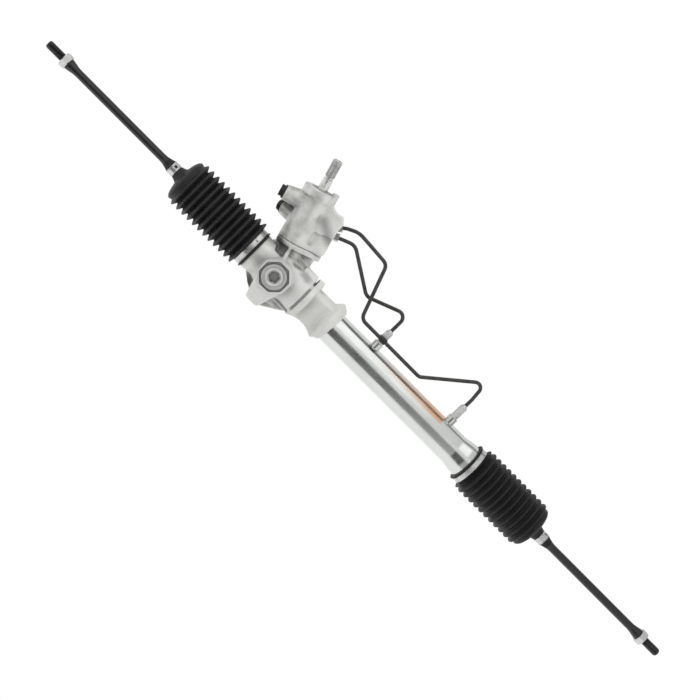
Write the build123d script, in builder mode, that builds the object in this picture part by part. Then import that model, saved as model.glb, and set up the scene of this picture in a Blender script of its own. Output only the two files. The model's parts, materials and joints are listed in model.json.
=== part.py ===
"""Hydraulic rack-and-pinion steering rack, built as separate pieces.

Frame: +X runs along the rack from the pinion end to the plain tube end, +Z is up towards the
input shaft, +Y points to the side of the rack that the pinion meshes on. The origin is the centre
of the housing's clamping neck, on the rack axis. Millimetres and degrees.
"""
from build123d import *
from math import acos, atan, cos, pi, radians, sin, sqrt, tan
import os

# ------------------------------------------------------------------ driving dimensions
# clearances
running_gap = 0.06
seat_gap = 0.05
stop_gap = 1.5

# rack bar and its teeth
rack_dia = 24.0
rack_bore_dia = 9.0
travel_left = 61.0
travel_right = 71.0
tooth_module = 1.8
pressure_angle = 20.0
rack_flat_depth = 2.2
backlash = 0.14
pinion_teeth = 8
pinion_helix = 22.0
profile_shift = 0.55
tip_shortening = 0.355
tooth_root_clearance = 0.25

# pinion and valve axis
pinion_x = -70.0
pinion_lean = 16.3
pinion_face_width = 34.0

# housing, along the rack
housing_left_end = -123.0
left_seat_length = 11.7
boot_seat_radius = 25.0
sleeve_radius = 27.3
barrel_radius = 29.5
barrel_start = -92.0
barrel_end = -25.5
rib_radius = 30.3
rib_step = 3.0
rib_width = 9.2
neck_width = 41.6
neck_top = 24.0
neck_bottom = -20.8
neck_length = 26.6
neck_round = 8.0
shelf_top = 33.4
shelf_width = 34.0
collar_radius = 25.8
ridge_radius = 31.8
ridge_rise = 2.6
ridge_tilt = 4.0
collar_length = 19.7
housing_bore_radius = 14.0
pocket_floor = 21.0
web_front = 6.0
web_back = 32.0

# pinion tower
tower_radius = 21.0
tower_bottom = -42.0
seam_height = 44.5
flange_thickness = 8.0
flange_radius = 23.0
ear_reach = 30.0
ear_radius = 8.6
ear_back = 14.0
ear_nose_reach = 37.0
ear_nose_front = 2.0
ear_nose_radius = 4.6
lower_pad_bottom = -51.0
bolt_radius = 4.0
bolt_head_flats = 12.0
bolt_head_height = 6.0
bolt_circle = 28.5
back_bolt_turns = (70.0, 112.0)

# yoke
yoke_boss_flats = 45.0
yoke_boss_face = 46.0
yoke_radius = 15.0
yoke_front = 5.0
yoke_pad_thickness = 1.2
plug_radius = 17.0
plug_length = 11.0
plug_proud = 1.0
plug_groove_flats = 38.4
plug_groove_depth = 4.0
plug_recess_flats = 14.0
plug_recess_depth = 6.0
disc_spring_count = 3
disc_spring_thickness = 1.2
disc_spring_rise = 0.6
rib_thickness = 5.0

# valve housing
valve_radius = 22.5
valve_top = 122.6
head_radius = 24.0
head_height = 13.0
lug_height = 4.0
port_block_reach = 44.0
port_block_front = 16.0
port_block_back = 8.0
port_block_low = 71.0
port_block_high = 104.5
port_block_nose = 46.4
web_reach = 43.5
web_thickness = 18.0
hose_port_radius = 11.3
hose_port_root = 3.4
pressure_port_reach = 41.6
pressure_port_height = 96.7
return_port_reach = 38.0
return_port_height = 76.0
return_port_turn = 28.0
hose_thread_radius = 7.0
hose_thread_depth = 14.0
long_pipe_port_height = 89.5
long_pipe_rise = 22.0
pipe_port_spacing = 13.0
short_pipe_rise = 8.0
pipe_union_radius = 4.6
pipe_union_flats = 10.0
pipe_union_length = 6.0
pipe_union_depth = 9.0

# valve, shafts and bearings
sleeve_bore_radius = 10.0
sleeve_radius_outer = 17.5
sleeve_low = 50.0
sleeve_high = 99.0
sleeve_groove_width = 5.0
ring_groove_width = 2.2
ring_groove_depth = 1.6
input_radius = 6.75
input_top = 167.0
input_slot_height = 141.0
torsion_radius = 3.0
torsion_head_radius = 4.6
torsion_low = 3.5
journal_radius = 8.5
bearing_outer_radius = 17.5
bearing_width = 10.0
lower_journal_radius = 6.0
lower_bush_radius = 11.0
lower_bush_length = 12.0
seal_radius = 14.0
needle_bush_radius = 12.0

# cylinder tube
tube_radius = 22.4
tube_bore_radius = 19.5
tube_start = 17.0
tube_end = 308.0
flare_start = 264.7
flare_length = 17.0
right_seat_length = 19.0
tube_port_left_x = 92.0
tube_port_right_x = 233.4
port_boss_radius = 7.2
port_boss_height = 8.0
pipe_nut_flats = 9.8
pipe_nut_length = 20.0
pipe_radius = 2.6
port_thread_radius = 4.0
clip_length = 9.0
piston_x = 158.0
piston_width = 9.0
inner_seal_x = 62.0
outer_seal_x = 242.0
seal_carrier_length = 20.0
seal_length = 6.0
rack_bush_length = 21.0

# ball joints and tie rods (distances measured outwards from the ball centre)
rack_half_length = 283.0
washer_thickness = 2.0
washer_radius = 17.0
ball_offset = 22.0
ball_radius = 12.0
ball_seat_thickness = 1.9
socket_radius = 18.5
socket_mouth_radius = 10.7
socket_shank_radius = 7.5
socket_shank_length = 20.0
rod_radius = 5.6
rod_neck_radius = 6.0
cuff_seat_radius = 6.4
rod_flare_radius = 8.0
rod_flare_length = 17.0
nut_position = 234.3
nut_width = 9.6
nut_flats = 19.0
thread_radius = 6.0
relief_radius = 5.4
relief_width = 1.0
rod_tip = 270.9

# boots (distances measured outwards from the inner lip)
boot_wall = 1.8
boot_crest_radius = 35.2
boot_root_radius = 30.0
boot_pitch = 9.65
boot_lip_radius = 29.8
left_lip_width = 4.1
right_lip_width = 6.4
left_first_crest = 13.6
right_first_crest = 22.0
dome_radius = 31.6
dome_length = 21.4
dome_swell = 24.4
boot_neck_radius = 12.6
boot_neck_length = 13.1
cuff_distance = 43.0
cuff_wall = 2.4
cuff_radius = 8.5
cuff_tail = 8.0
band_width = 7.0
band_thickness = 0.8
band_inset = 0.6
small_band_width = 11.4

# ------------------------------------------------------------------ worked-out values
rack_radius = rack_dia / 2
rack_centre = (tube_end + housing_left_end) / 2 + (travel_left - travel_right) / 2
rack_left_end = rack_centre - rack_half_length
rack_right_end = rack_centre + rack_half_length

rack_tooth_angle = pinion_helix - pinion_lean
rack_pitch = pi * tooth_module / cos(radians(rack_tooth_angle))
pinion_pitch_radius = pinion_teeth * tooth_module / (2 * cos(radians(pinion_helix)))
pinion_tip_radius = pinion_pitch_radius + (1 + profile_shift) * tooth_module - tip_shortening
rack_tip_y = rack_radius - rack_flat_depth
rack_pitch_y = rack_tip_y - tooth_module
rack_root_y = rack_pitch_y - (1 + tooth_root_clearance) * tooth_module
pinion_y = rack_pitch_y + pinion_pitch_radius + profile_shift * tooth_module + seat_gap
pinion_root_radius = pinion_pitch_radius - (1.25 - profile_shift) * tooth_module

tower = Plane(
    origin=(pinion_x, pinion_y, 0),
    x_dir=(cos(radians(pinion_lean)), 0, sin(radians(pinion_lean))),
    z_dir=(-sin(radians(pinion_lean)), 0, cos(radians(pinion_lean))),
)
tower_axis = Axis(tower.origin, tower.z_dir)
tower_profile = Plane(origin=tower.origin, x_dir=tower.x_dir, z_dir=-tower.y_dir)
rack_profile = Plane.XZ
yoke_profile = Plane(origin=(pinion_x, 0, 0), x_dir=(1, 0, 0), z_dir=(0, 0, 1))
yoke_face = Plane(origin=(pinion_x, -yoke_boss_face, 0), x_dir=(1, 0, 0), z_dir=(0, 1, 0))
yoke_axis = Axis((pinion_x, 0, 0), (0, 1, 0))


# ------------------------------------------------------------------ helpers
def keep(piece, name):
    """Label a finished piece and write it as its own STEP file."""
    piece.part.label = name
    export_step(piece.part, f"parts/{name}.step")


def turned(points, plane=rack_profile, axis=Axis.X):
    """Solid of revolution of a closed outline that lies in a plane through the axis."""
    with BuildPart() as piece:
        with BuildSketch(plane):
            with BuildLine():
                Polyline(*points, close=True)
            make_face()
        revolve(axis=axis)
    return piece


def ring(low, high, inner, outer, plane=rack_profile, axis=Axis.X, along_first=True):
    """Plain ring between two stations and two radii."""
    corners = [(low, inner), (high, inner), (high, outer), (low, outer)]
    if not along_first:
        corners = [(radius, station) for station, radius in corners]
    return turned(corners, plane, axis)


def tower_ring(low, high, inner, outer):
    """Ring about the leaning pinion axis, between two heights along it."""
    return ring(low, high, inner, outer, tower_profile, tower_axis, along_first=False)


def outward(side, station):
    """Sketch plane whose x runs outwards along the rack from a station, on one side."""
    return Plane(origin=(station, 0, 0), x_dir=(side, 0, 0), z_dir=(0, -side, 0))


def beside(station, facing, distance):
    """Plane square to Y beside the rack, at a station and a distance, facing -Y or +Y."""
    return Plane(origin=(station, facing * distance, 0), x_dir=(1, 0, 0), z_dir=(0, facing, 0))


def tower_at(height, turn=0.0):
    """Plane square to the pinion axis at a height along it, turned about it in radians."""
    return Plane(
        origin=tower.from_local_coords((0, 0, height)),
        x_dir=tower.x_dir * cos(turn) + tower.y_dir * sin(turn),
        z_dir=tower.z_dir,
    )


def tower_side(height, turn=0.0):
    """Plane through the pinion axis facing sideways towards -X, turned about the axis."""
    facing = Vector(-cos(radians(turn)), sin(radians(turn)), 0)
    out = tower.from_local_coords((facing.X, facing.Y, 0)) - tower.origin
    return Plane(origin=tower.from_local_coords((0, 0, height)), x_dir=tower.z_dir, z_dir=out)


def routed_pipe(points):
    """Round pipe along straight runs joined by arcs as large as the runs allow."""
    route = [Vector(*point) for point in points]
    radii = []
    for before, here, after in zip(route, route[1:], route[2:]):
        turn = (here - before).get_angle(after - here)
        reach = 0.45 * min((here - before).length, (after - here).length)
        radii.append(reach / tan(radians(turn) / 2))
    with BuildPart() as piece:
        with BuildLine() as path:
            FilletPolyline(*route, radius=radii)
        with BuildSketch(Plane(origin=route[0], z_dir=route[1] - route[0])):
            Circle(pipe_radius)
        sweep(path=path.line)
    return piece


# ------------------------------------------------------------------ rack bar with its teeth
def rack_comb():
    """Cutter for all the gaps between the rack's teeth, as one saw-tooth prism."""
    slant = radians(rack_tooth_angle)
    engaged = rack_radius * tan(slant) + pinion_tip_radius
    first = -int((travel_right + engaged) / rack_pitch)
    last = int((travel_left + engaged) / rack_pitch)
    flank = tan(radians(pressure_angle)) / cos(slant)
    half_gap = (pi * tooth_module / 2 + backlash) / 2 / cos(slant)
    overshoot = 1.0
    top = rack_tip_y + overshoot
    wide = half_gap + (top - rack_pitch_y) * flank
    narrow = half_gap - (rack_pitch_y - rack_root_y) * flank
    with BuildPart() as comb:
        with BuildSketch(Plane.XY):
            for number in range(first, last + 1):
                centre = pinion_x + number * rack_pitch
                with BuildLine():
                    Polyline(
                        (centre - wide, top),
                        (centre - narrow, rack_root_y),
                        (centre + narrow, rack_root_y),
                        (centre + wide, top),
                        close=True,
                    )
                make_face()
        extrude(amount=rack_dia, both=True, dir=(sin(slant), 0, cos(slant)))
    start = pinion_x + (first - 0.5) * rack_pitch
    end = pinion_x + (last + 0.5) * rack_pitch
    return comb, start, end


def make_rack_bar():
    comb, teeth_start, teeth_end = rack_comb()
    shank_bore = socket_shank_radius + seat_gap
    with BuildPart() as bar:
        with BuildSketch(rack_profile):
            with BuildLine():
                Polyline(
                    (rack_left_end, 0),
                    (rack_left_end, rack_radius - 1),
                    (rack_left_end + 1, rack_radius),
                    (rack_right_end - 1, rack_radius),
                    (rack_right_end, rack_radius - 1),
                    (rack_right_end, 0),
                    close=True,
                )
            make_face()
        revolve(axis=Axis.X)
        with BuildSketch(Plane.YZ.offset(rack_left_end)):
            Circle(rack_bore_dia / 2)
        extrude(amount=2 * rack_half_length, mode=Mode.SUBTRACT)
        for side, end in ((-1, rack_left_end), (1, rack_right_end)):
            with BuildSketch(Plane(origin=(end, 0, 0), z_dir=(-side, 0, 0))):
                Circle(shank_bore)
            extrude(amount=socket_shank_length + stop_gap, mode=Mode.SUBTRACT)
        with BuildSketch(Plane.YZ.offset(teeth_start)):
            with Locations((rack_tip_y + rack_radius / 2, 0)):
                Rectangle(rack_radius, rack_dia)
        extrude(amount=teeth_end - teeth_start, mode=Mode.SUBTRACT)
        add(comb.part, mode=Mode.SUBTRACT)
    keep(bar, "rack_bar")


def make_piston():
    groove = 2.4
    half = piston_width / 2
    outer = tube_bore_radius - 0.4
    inner = rack_radius + seat_gap
    piston = turned([
        (piston_x - half, inner),
        (piston_x - half, outer),
        (piston_x - groove, outer),
        (piston_x - groove, outer - 2.0),
        (piston_x + groove, outer - 2.0),
        (piston_x + groove, outer),
        (piston_x + half, outer),
        (piston_x + half, inner),
    ])
    keep(piston, "rack_piston")
    keep(
        ring(piston_x - groove + 0.1, piston_x + groove - 0.1, outer - 1.9, tube_bore_radius - running_gap),
        "piston_ring",
    )


# ------------------------------------------------------------------ pinion and valve
def involute(angle):
    return tan(angle) - angle


def pinion_outline():
    """One closed outline of the pinion's transverse section, tooth centred on local -Y."""
    transverse_pressure = atan(tan(radians(pressure_angle)) / cos(radians(pinion_helix)))
    base = pinion_pitch_radius * cos(transverse_pressure)
    transverse_module = tooth_module / cos(radians(pinion_helix))
    thickness = pi * transverse_module / 2 + 2 * profile_shift * tooth_module * tan(transverse_pressure)
    half_angle = thickness / (2 * pinion_pitch_radius) + involute(transverse_pressure)

    def flank(radius):
        return half_angle - involute(acos(min(base / radius, 1)))

    middle = (base + pinion_tip_radius) / 2
    step = 2 * pi / pinion_teeth

    def polar(radius, angle):
        return (radius * cos(angle), radius * sin(angle))

    for number in range(pinion_teeth):
        centre = -pi / 2 + number * step
        root = polar(pinion_root_radius, centre - half_angle)
        start = polar(base, centre - flank(base))
        tip_in = polar(pinion_tip_radius, centre - flank(pinion_tip_radius))
        tip_out = polar(pinion_tip_radius, centre + flank(pinion_tip_radius))
        end = polar(base, centre + flank(base))
        foot = polar(pinion_root_radius, centre + half_angle)
        Line(root, start)
        ThreePointArc(start, polar(middle, centre - flank(middle)), tip_in)
        Line(tip_in, tip_out)
        ThreePointArc(tip_out, polar(middle, centre + flank(middle)), end)
        Line(end, foot)
        ThreePointArc(
            foot,
            polar(pinion_root_radius, centre + step / 2),
            polar(pinion_root_radius, centre + step - half_angle),
        )


def make_pinion_shaft():
    half = pinion_face_width / 2
    turn_per_mm = tan(radians(pinion_helix)) / pinion_pitch_radius
    first_section = tower_at(-half, -turn_per_mm * half)
    collar = journal_radius + 3
    bottom = -half - lower_bush_length - 2
    core = pinion_root_radius - 0.3
    spigot = sleeve_bore_radius - 0.5
    with BuildPart() as pinion:
        with BuildLine() as path:
            Line(tower_at(-half).origin, tower_at(half).origin)
        with BuildSketch(first_section):
            with BuildLine():
                pinion_outline()
            make_face()
        sweep(
            path=path.line,
            binormal=Helix(2 * pi / turn_per_mm, pinion_face_width, core, tower_at(-half).origin, tower.z_dir),
        )
        with BuildSketch(tower_profile):
            with BuildLine():
                Polyline(
                    (0, bottom),
                    (lower_journal_radius - 0.8, bottom),
                    (lower_journal_radius, bottom + 0.8),
                    (lower_journal_radius, -half),
                    (core, 1 - half),
                    (core, half - 1),
                    (journal_radius, half + 3),
                    (journal_radius, bearing_high()),
                    (collar, bearing_high()),
                    (collar, sleeve_low),
                    (spigot, sleeve_low),
                    (spigot, sleeve_low + 6),
                    (0, sleeve_low + 6),
                    close=True,
                )
            make_face()
        revolve(axis=tower_axis)
        with BuildSketch(tower_at(torsion_low)):
            Circle(torsion_head_radius + seat_gap)
        extrude(amount=sleeve_low + 7 - torsion_low, mode=Mode.SUBTRACT)
    keep(pinion, "pinion_shaft")


def bearing_low():
    """Height of the upper bearing's lower face, just under the housing seam."""
    return seam_height - bearing_width - 1


def bearing_high():
    return bearing_low() + bearing_width + 0.2


def make_valve():
    lands = [sleeve_low + (sleeve_high - sleeve_low) * share for share in (0.27, 0.5, 0.73)]
    rings = [sleeve_low + (sleeve_high - sleeve_low) * share for share in (0.14, 0.385, 0.615, 0.86)]
    with BuildPart() as sleeve:
        with BuildSketch(tower_at(sleeve_low)):
            Circle(sleeve_radius_outer)
            Circle(sleeve_bore_radius, mode=Mode.SUBTRACT)
        extrude(amount=sleeve_high - sleeve_low)
        for heights, width in ((lands, sleeve_groove_width), (rings, ring_groove_width)):
            for height in heights:
                with BuildSketch(tower_at(height - width / 2)):
                    Circle(sleeve_radius_outer + 1)
                    Circle(sleeve_radius_outer - ring_groove_depth, mode=Mode.SUBTRACT)
                extrude(amount=width, mode=Mode.SUBTRACT)
        for height in lands:
            for turn in (0, 90, 180, 270):
                with BuildSketch(tower_side(height, turn)):
                    Circle(1.6)
                extrude(amount=sleeve_radius_outer, mode=Mode.SUBTRACT)
    keep(sleeve, "valve_sleeve")

    with BuildPart() as sleeve_rings:
        for height in rings:
            with BuildSketch(tower_at(height - ring_groove_width / 2 + 0.1)):
                Circle(sleeve_radius_outer + seat_gap)
                Circle(sleeve_radius_outer - ring_groove_depth + 0.1, mode=Mode.SUBTRACT)
            extrude(amount=ring_groove_width - 0.2)
    keep(sleeve_rings, "valve_seal_rings")

    with BuildPart() as carrier:
        with BuildSketch(tower_at(sleeve_low - 2.2)):
            Circle(sleeve_radius_outer - 1)
            Circle(journal_radius + 3 + seat_gap, mode=Mode.SUBTRACT)
        extrude(amount=2.1)
    keep(carrier, "sleeve_drive_plate")


def make_input_shaft():
    bore = torsion_radius + 1.2
    low = sleeve_low + 8
    land = sleeve_bore_radius - running_gap
    middle = (sleeve_low + sleeve_high) / 2
    with BuildPart() as shaft:
        with BuildSketch(tower_profile):
            with BuildLine():
                Polyline(
                    (bore, low),
                    (land, low),
                    (land, sleeve_high + 2),
                    (input_radius + 1, sleeve_high + 4),
                    (input_radius + 1, valve_top - 2),
                    (input_radius, valve_top),
                    (input_radius, input_slot_height - 1.5),
                    (input_radius - 0.9, input_slot_height - 0.8),
                    (input_radius - 0.9, input_slot_height + 0.8),
                    (input_radius, input_slot_height + 1.5),
                    (input_radius, input_top - 1),
                    (input_radius - 1, input_top),
                    (torsion_head_radius + seat_gap, input_top),
                    (torsion_head_radius + seat_gap, valve_top),
                    (bore, valve_top - 2),
                    close=True,
                )
            make_face()
        revolve(axis=tower_axis)
        for turn in range(0, 360, 45):
            with BuildSketch(tower_side(middle, turn).offset(land - 1.2)):
                Rectangle(24, 3)
            extrude(amount=3, mode=Mode.SUBTRACT)
    keep(shaft, "input_shaft")


def make_torsion_bar():
    low = torsion_low + 0.5
    bar = turned(
        [
            (0, low),
            (torsion_head_radius, low),
            (torsion_head_radius, low + 14),
            (torsion_radius, low + 18),
            (torsion_radius, valve_top + 2),
            (torsion_head_radius, valve_top + 6),
            (torsion_head_radius, input_top - 3),
            (0, input_top - 3),
        ],
        tower_profile,
        tower_axis,
    )
    keep(bar, "torsion_bar")


def make_tower_bearings():
    low = bearing_low()
    middle = (journal_radius + bearing_outer_radius) / 2
    keep(tower_ring(low, low + bearing_width, middle + 0.4, bearing_outer_radius), "pinion_bearing_outer")
    keep(tower_ring(low, low + bearing_width, journal_radius, middle - 0.4), "pinion_bearing_inner")
    bush_high = -pinion_face_width / 2 - 1.5
    keep(
        tower_ring(bush_high - lower_bush_length, bush_high, lower_journal_radius + running_gap, lower_bush_radius),
        "pinion_lower_bush",
    )
    needle_low = sleeve_high + 5
    seal_low = needle_low + 8
    clip_low = seal_low + 7
    cap_low = clip_low + 1.5
    shaft = input_radius + 1 + running_gap
    keep(tower_ring(needle_low, seal_low - 0.5, shaft, needle_bush_radius), "input_needle_bush")
    keep(tower_ring(seal_low, clip_low - 0.2, shaft, seal_radius), "input_oil_seal")
    keep(tower_ring(clip_low, cap_low - 0.2, seal_radius - 2.5, seal_radius + 0.8), "seal_retaining_ring")
    keep(tower_ring(cap_low, valve_top + 0.5, shaft, seal_radius - seat_gap), "dust_cover")


# ------------------------------------------------------------------ castings
def make_pinion_housing():
    seat_end = housing_left_end + left_seat_length
    neck_start = -neck_length / 2
    rib_start = neck_start - rib_width
    core = neck_width / 2 - 2
    blend = 8.0
    webs = [lower_block(), upper_rib(), side_web(), ear_web()]
    saddle = [neck_saddle(), barrel_shelf(), collar_ring()]
    with BuildPart() as housing:
        with BuildSketch(rack_profile):
            with BuildLine():
                Polyline(
                    (housing_left_end, 0),
                    (housing_left_end, boot_seat_radius - 1),
                    (housing_left_end + 1, boot_seat_radius),
                    (seat_end, boot_seat_radius),
                    (seat_end, sleeve_radius),
                    (barrel_start, sleeve_radius),
                    (barrel_start + blend, barrel_radius),
                    (barrel_end, barrel_radius),
                    (barrel_end, barrel_radius - rib_step),
                    (rib_start, barrel_radius - rib_step),
                    (rib_start, rib_radius),
                    (neck_start - 1.5, rib_radius),
                    (neck_start, rib_radius - 2.5),
                    (neck_start, core),
                    (tube_start + 3, core),
                    (tube_start + 3, 0),
                    close=True,
                )
            make_face()
        revolve(axis=Axis.X)
        for cast in saddle:
            add(cast.part)
        add(under_arc().part, mode=Mode.SUBTRACT)
        add(sleeve_pocket().part, mode=Mode.SUBTRACT)
        with BuildSketch(tower_at(tower_bottom)):
            Circle(tower_radius)
        extrude(amount=seam_height - tower_bottom)
        with BuildSketch(tower_at(seam_height - flange_thickness)):
            flange_outline()
        extrude(amount=flange_thickness)
        with BuildSketch(yoke_face):
            RegularPolygon(yoke_boss_flats / 2, 8, major_radius=False, rotation=22.5)
        extrude(amount=yoke_boss_face)
        for cast in webs:
            add(cast.part)
        # bores
        with BuildSketch(Plane.YZ.offset(housing_left_end)):
            Circle(housing_bore_radius)
        extrude(amount=tube_start - housing_left_end, mode=Mode.SUBTRACT)
        with BuildSketch(Plane.YZ.offset(tube_start)):
            Circle(tube_radius + seat_gap)
        extrude(amount=2 * collar_length, mode=Mode.SUBTRACT)
        bush_floor = -pinion_face_width / 2 - lower_bush_length - 3.5
        for low, high, radius in (
            (bush_floor, bush_floor + lower_bush_length + 3, lower_bush_radius + seat_gap),
            (bush_floor + lower_bush_length + 2, bearing_low(), housing_bore_radius),
            (bearing_low(), seam_height, bearing_outer_radius + seat_gap),
        ):
            with BuildSketch(tower_at(low)):
                Circle(radius)
            extrude(amount=high - low, mode=Mode.SUBTRACT)
        with BuildSketch(yoke_face):
            RegularPolygon(plug_groove_flats / 2, 8, major_radius=False, rotation=22.5)
        extrude(amount=plug_groove_depth, mode=Mode.SUBTRACT)
        for radius, depth in (
            (plug_radius + seat_gap, plug_length + disc_stack() - plug_proud),
            (yoke_radius + seat_gap, yoke_boss_face),
        ):
            with BuildSketch(yoke_face):
                Circle(radius)
            extrude(amount=depth, mode=Mode.SUBTRACT)
        for place in flange_bolts():
            with BuildSketch(tower_at(seam_height - flange_thickness)):
                with Locations(place):
                    Circle(bolt_radius + seat_gap)
            extrude(amount=flange_thickness, mode=Mode.SUBTRACT)
    keep(housing, "pinion_housing")


def neck_saddle():
    """Rounded rectangular neck that a vehicle bracket grips, before its belly is arched."""
    with BuildPart() as saddle:
        with BuildSketch(Plane.YZ.offset(barrel_end)):
            with Locations((0, (neck_top + neck_bottom) / 2 - rib_width / 2)):
                RectangleRounded(neck_width, neck_top - neck_bottom + rib_width, neck_round)
        extrude(amount=tube_start + 3 - barrel_end)
    return saddle


def barrel_shelf():
    """Flat-topped shoulder along the barrel, parted from the rib by the groove between them."""
    rib_end = -neck_length / 2
    with BuildPart() as shelf:
        for start, end in ((pinion_x + flange_radius, barrel_end), (rib_end - rib_width, rib_end)):
            with BuildSketch(Plane.YZ.offset(start)):
                with Locations((2, shelf_top / 2)):
                    RectangleRounded(shelf_width, shelf_top, neck_round)
            extrude(amount=end - start)
    return shelf


def collar_ring():
    """Raised ring round the tube's mouth, set above the rack axis and tilted."""
    lean = radians(ridge_tilt)
    ridge_x = neck_length / 2 + collar_length * 0.44
    centre = Vector(ridge_x, 0, ridge_rise)
    along = Vector(cos(lean), 0, -sin(lean))
    start, end = -collar_length * 0.52, collar_length * 0.52
    return turned(
        [
            (start, 0),
            (start, neck_width / 2),
            (-1.5, ridge_radius - 0.6),
            (0.8, ridge_radius),
            (end - 2, collar_radius + 1),
            (end, collar_radius),
            (end, 0),
        ],
        Plane(origin=centre, x_dir=along, z_dir=(0, -1, 0)),
        Axis(centre, along),
    )


def under_arc():
    """Everything below the arch that runs from the barrel's belly to the collar."""
    left, right = barrel_end - 1, tube_start + 3
    deep = neck_bottom - rib_width - 30
    with BuildPart() as arc:
        with BuildSketch(Plane.XZ.offset(-ridge_radius - 10)):
            with BuildLine():
                ThreePointArc((left, neck_bottom - 9.8), (-3, neck_bottom), (right, neck_bottom - 7.5))
                Polyline((right, neck_bottom - 7.5), (right, deep), (left, deep), (left, neck_bottom - 9.8))
            make_face()
        extrude(amount=2 * ridge_radius + 20)
    return arc


def sleeve_pocket():
    """Hollow cast between the sleeve and the foot of the tower, open to the front."""
    left, right = barrel_start - 5, pinion_x - 8
    roof = seam_height + 5
    with BuildPart() as pocket:
        with BuildSketch(Plane.XZ.offset(-web_front)):
            with BuildLine():
                Polyline(
                    (left, roof),
                    (left, pocket_floor + 8),
                    (left + 4, pocket_floor),
                    (right, pocket_floor),
                    (right, roof),
                    close=True,
                )
            make_face()
        extrude(amount=web_front + yoke_boss_face)
    return pocket


def flange_bolts():
    """Centres of the flange bolts, across and behind the pinion axis."""
    backs = [(bolt_circle * cos(radians(turn)), bolt_circle * sin(radians(turn))) for turn in back_bolt_turns]
    return [(ear_reach, ear_back)] + backs


def flange_outline():
    """Outline shared by both castings at the seam: a disc pulled out to its bolt ears."""
    ear, *backs = flange_bolts()
    Circle(flange_radius)
    with Locations(ear):
        Circle(ear_radius)
    with Locations((ear_nose_reach, -ear_nose_front)):
        Circle(ear_nose_radius)
    make_hull()
    with Locations(*backs):
        Circle(ear_radius - 1)


def lower_block():
    """Cast block under the yoke boss that carries the pinion's lower bush."""
    block_top = -14.0
    front = 7 - yoke_boss_face
    back = web_back
    with BuildPart() as block:
        with BuildSketch(Plane.XY.offset(block_top)):
            with Locations((pinion_x + 1, (front + back) / 2)):
                RectangleRounded(40, back - front, 8)
        with BuildSketch(Plane.XY.offset(lower_pad_bottom)):
            with Locations((pinion_x + 2.6, 8)):
                RectangleRounded(21, 34, 8)
        loft()
    return block


def upper_rib():
    """Gusset that climbs from the yoke boss to the seam flange, along the tower's front."""
    front = 4 - yoke_boss_face - pinion_y
    boss_top = yoke_boss_flats / 2
    side = tower.origin - tower.x_dir * (rib_thickness / 2)
    with BuildPart() as rib:
        with BuildSketch(Plane(origin=side, x_dir=tower.y_dir, z_dir=tower.x_dir)):
            with BuildLine():
                Polyline(
                    (-tower_radius + 2, seam_height - 1),
                    (-flange_radius, seam_height - 1),
                    (-flange_radius - 2, seam_height - flange_thickness),
                    (front, boss_top - 3),
                    (front, boss_top / 3),
                    (-tower_radius + 2, boss_top / 3),
                    close=True,
                )
            make_face()
        extrude(amount=rib_thickness)
    return rib


def side_web():
    """Web between the sleeve, the pinion boss and the barrel, on the side away from the yoke."""
    sleeve_end = housing_left_end + left_seat_length + 1
    foot_left, foot_right = pinion_x - 12, pinion_x + 14
    belly = (neck_bottom + lower_pad_bottom) / 2 - 4
    with BuildPart() as web:
        with BuildSketch(Plane.XZ.offset(-web_back)):
            with BuildLine():
                Polyline(
                    (foot_left, lower_pad_bottom + 8),
                    (foot_left - 6, lower_pad_bottom + 11),
                    (foot_left - 24, neck_bottom - 3),
                    (sleeve_end, -14),
                    (sleeve_end, 14),
                    (sleeve_end + 12, 30),
                    (foot_left, seam_height - flange_thickness),
                    (foot_right, seam_height - flange_thickness),
                    (barrel_end + 1, shelf_top - 8),
                    (barrel_end + 1, neck_bottom - 9),
                )
                ThreePointArc(
                    (barrel_end + 1, neck_bottom - 9),
                    ((barrel_end + foot_right) / 2, belly - 1),
                    (foot_right, lower_pad_bottom + 1),
                )
                Line((foot_right, lower_pad_bottom + 1), (foot_left, lower_pad_bottom + 8))
            make_face()
        extrude(amount=web_back - web_front)
    return web


def ear_web():
    """Web under the seam flange that ties its ear down to the barrel."""
    reach = ear_nose_reach - 1.5
    with BuildPart() as web:
        with BuildSketch(tower_profile.offset(-web_front)):
            with BuildLine():
                Polyline(
                    (0, seam_height - 2),
                    (reach, seam_height - 2),
                    (reach, seam_height - flange_thickness),
                    (reach - 1.5, seam_height / 2),
                    (reach, 8),
                    (0, 8),
                    close=True,
                )
            make_face()
        extrude(amount=web_thickness - 4)
    return web


def hose_ports():
    """Name, reach and facing plane of each hose port, from the pinion axis outwards."""
    return (
        ("pressure_port_plug", pressure_port_reach, tower_side(pressure_port_height)),
        ("return_port_plug", return_port_reach, tower_side(return_port_height, return_port_turn)),
    )


def port_block():
    """Block that carries the two steel pipes, swept up into the head, with the web under it."""
    base = seam_height
    neck_low = valve_top - head_height + 3
    with BuildPart() as block:
        with BuildSketch(tower_profile.offset(-port_block_back)):
            with BuildLine():
                Polyline(
                    (port_block_reach - 9, port_block_high),
                    (port_block_reach - 1, port_block_high),
                    (port_block_nose, port_block_high - 9),
                    (port_block_reach, long_pipe_port_height - 4),
                    (port_block_reach, port_block_low),
                    (0, port_block_low),
                    (0, neck_low),
                    (head_radius - 1, neck_low),
                )
                ThreePointArc(
                    (head_radius - 1, neck_low),
                    (head_radius + 4.4, port_block_high + 2.6),
                    (port_block_reach - 9, port_block_high),
                )
            make_face()
        extrude(amount=port_block_front + port_block_back)
        with BuildSketch(tower_profile.offset(-web_front)):
            with BuildLine():
                Polyline(
                    (0, base),
                    (web_reach - 4, base),
                    (web_reach, base + 5),
                    (web_reach, port_block_low + 2),
                    (0, port_block_low + 2),
                    close=True,
                )
            make_face()
        extrude(amount=web_thickness)
    return block


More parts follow.
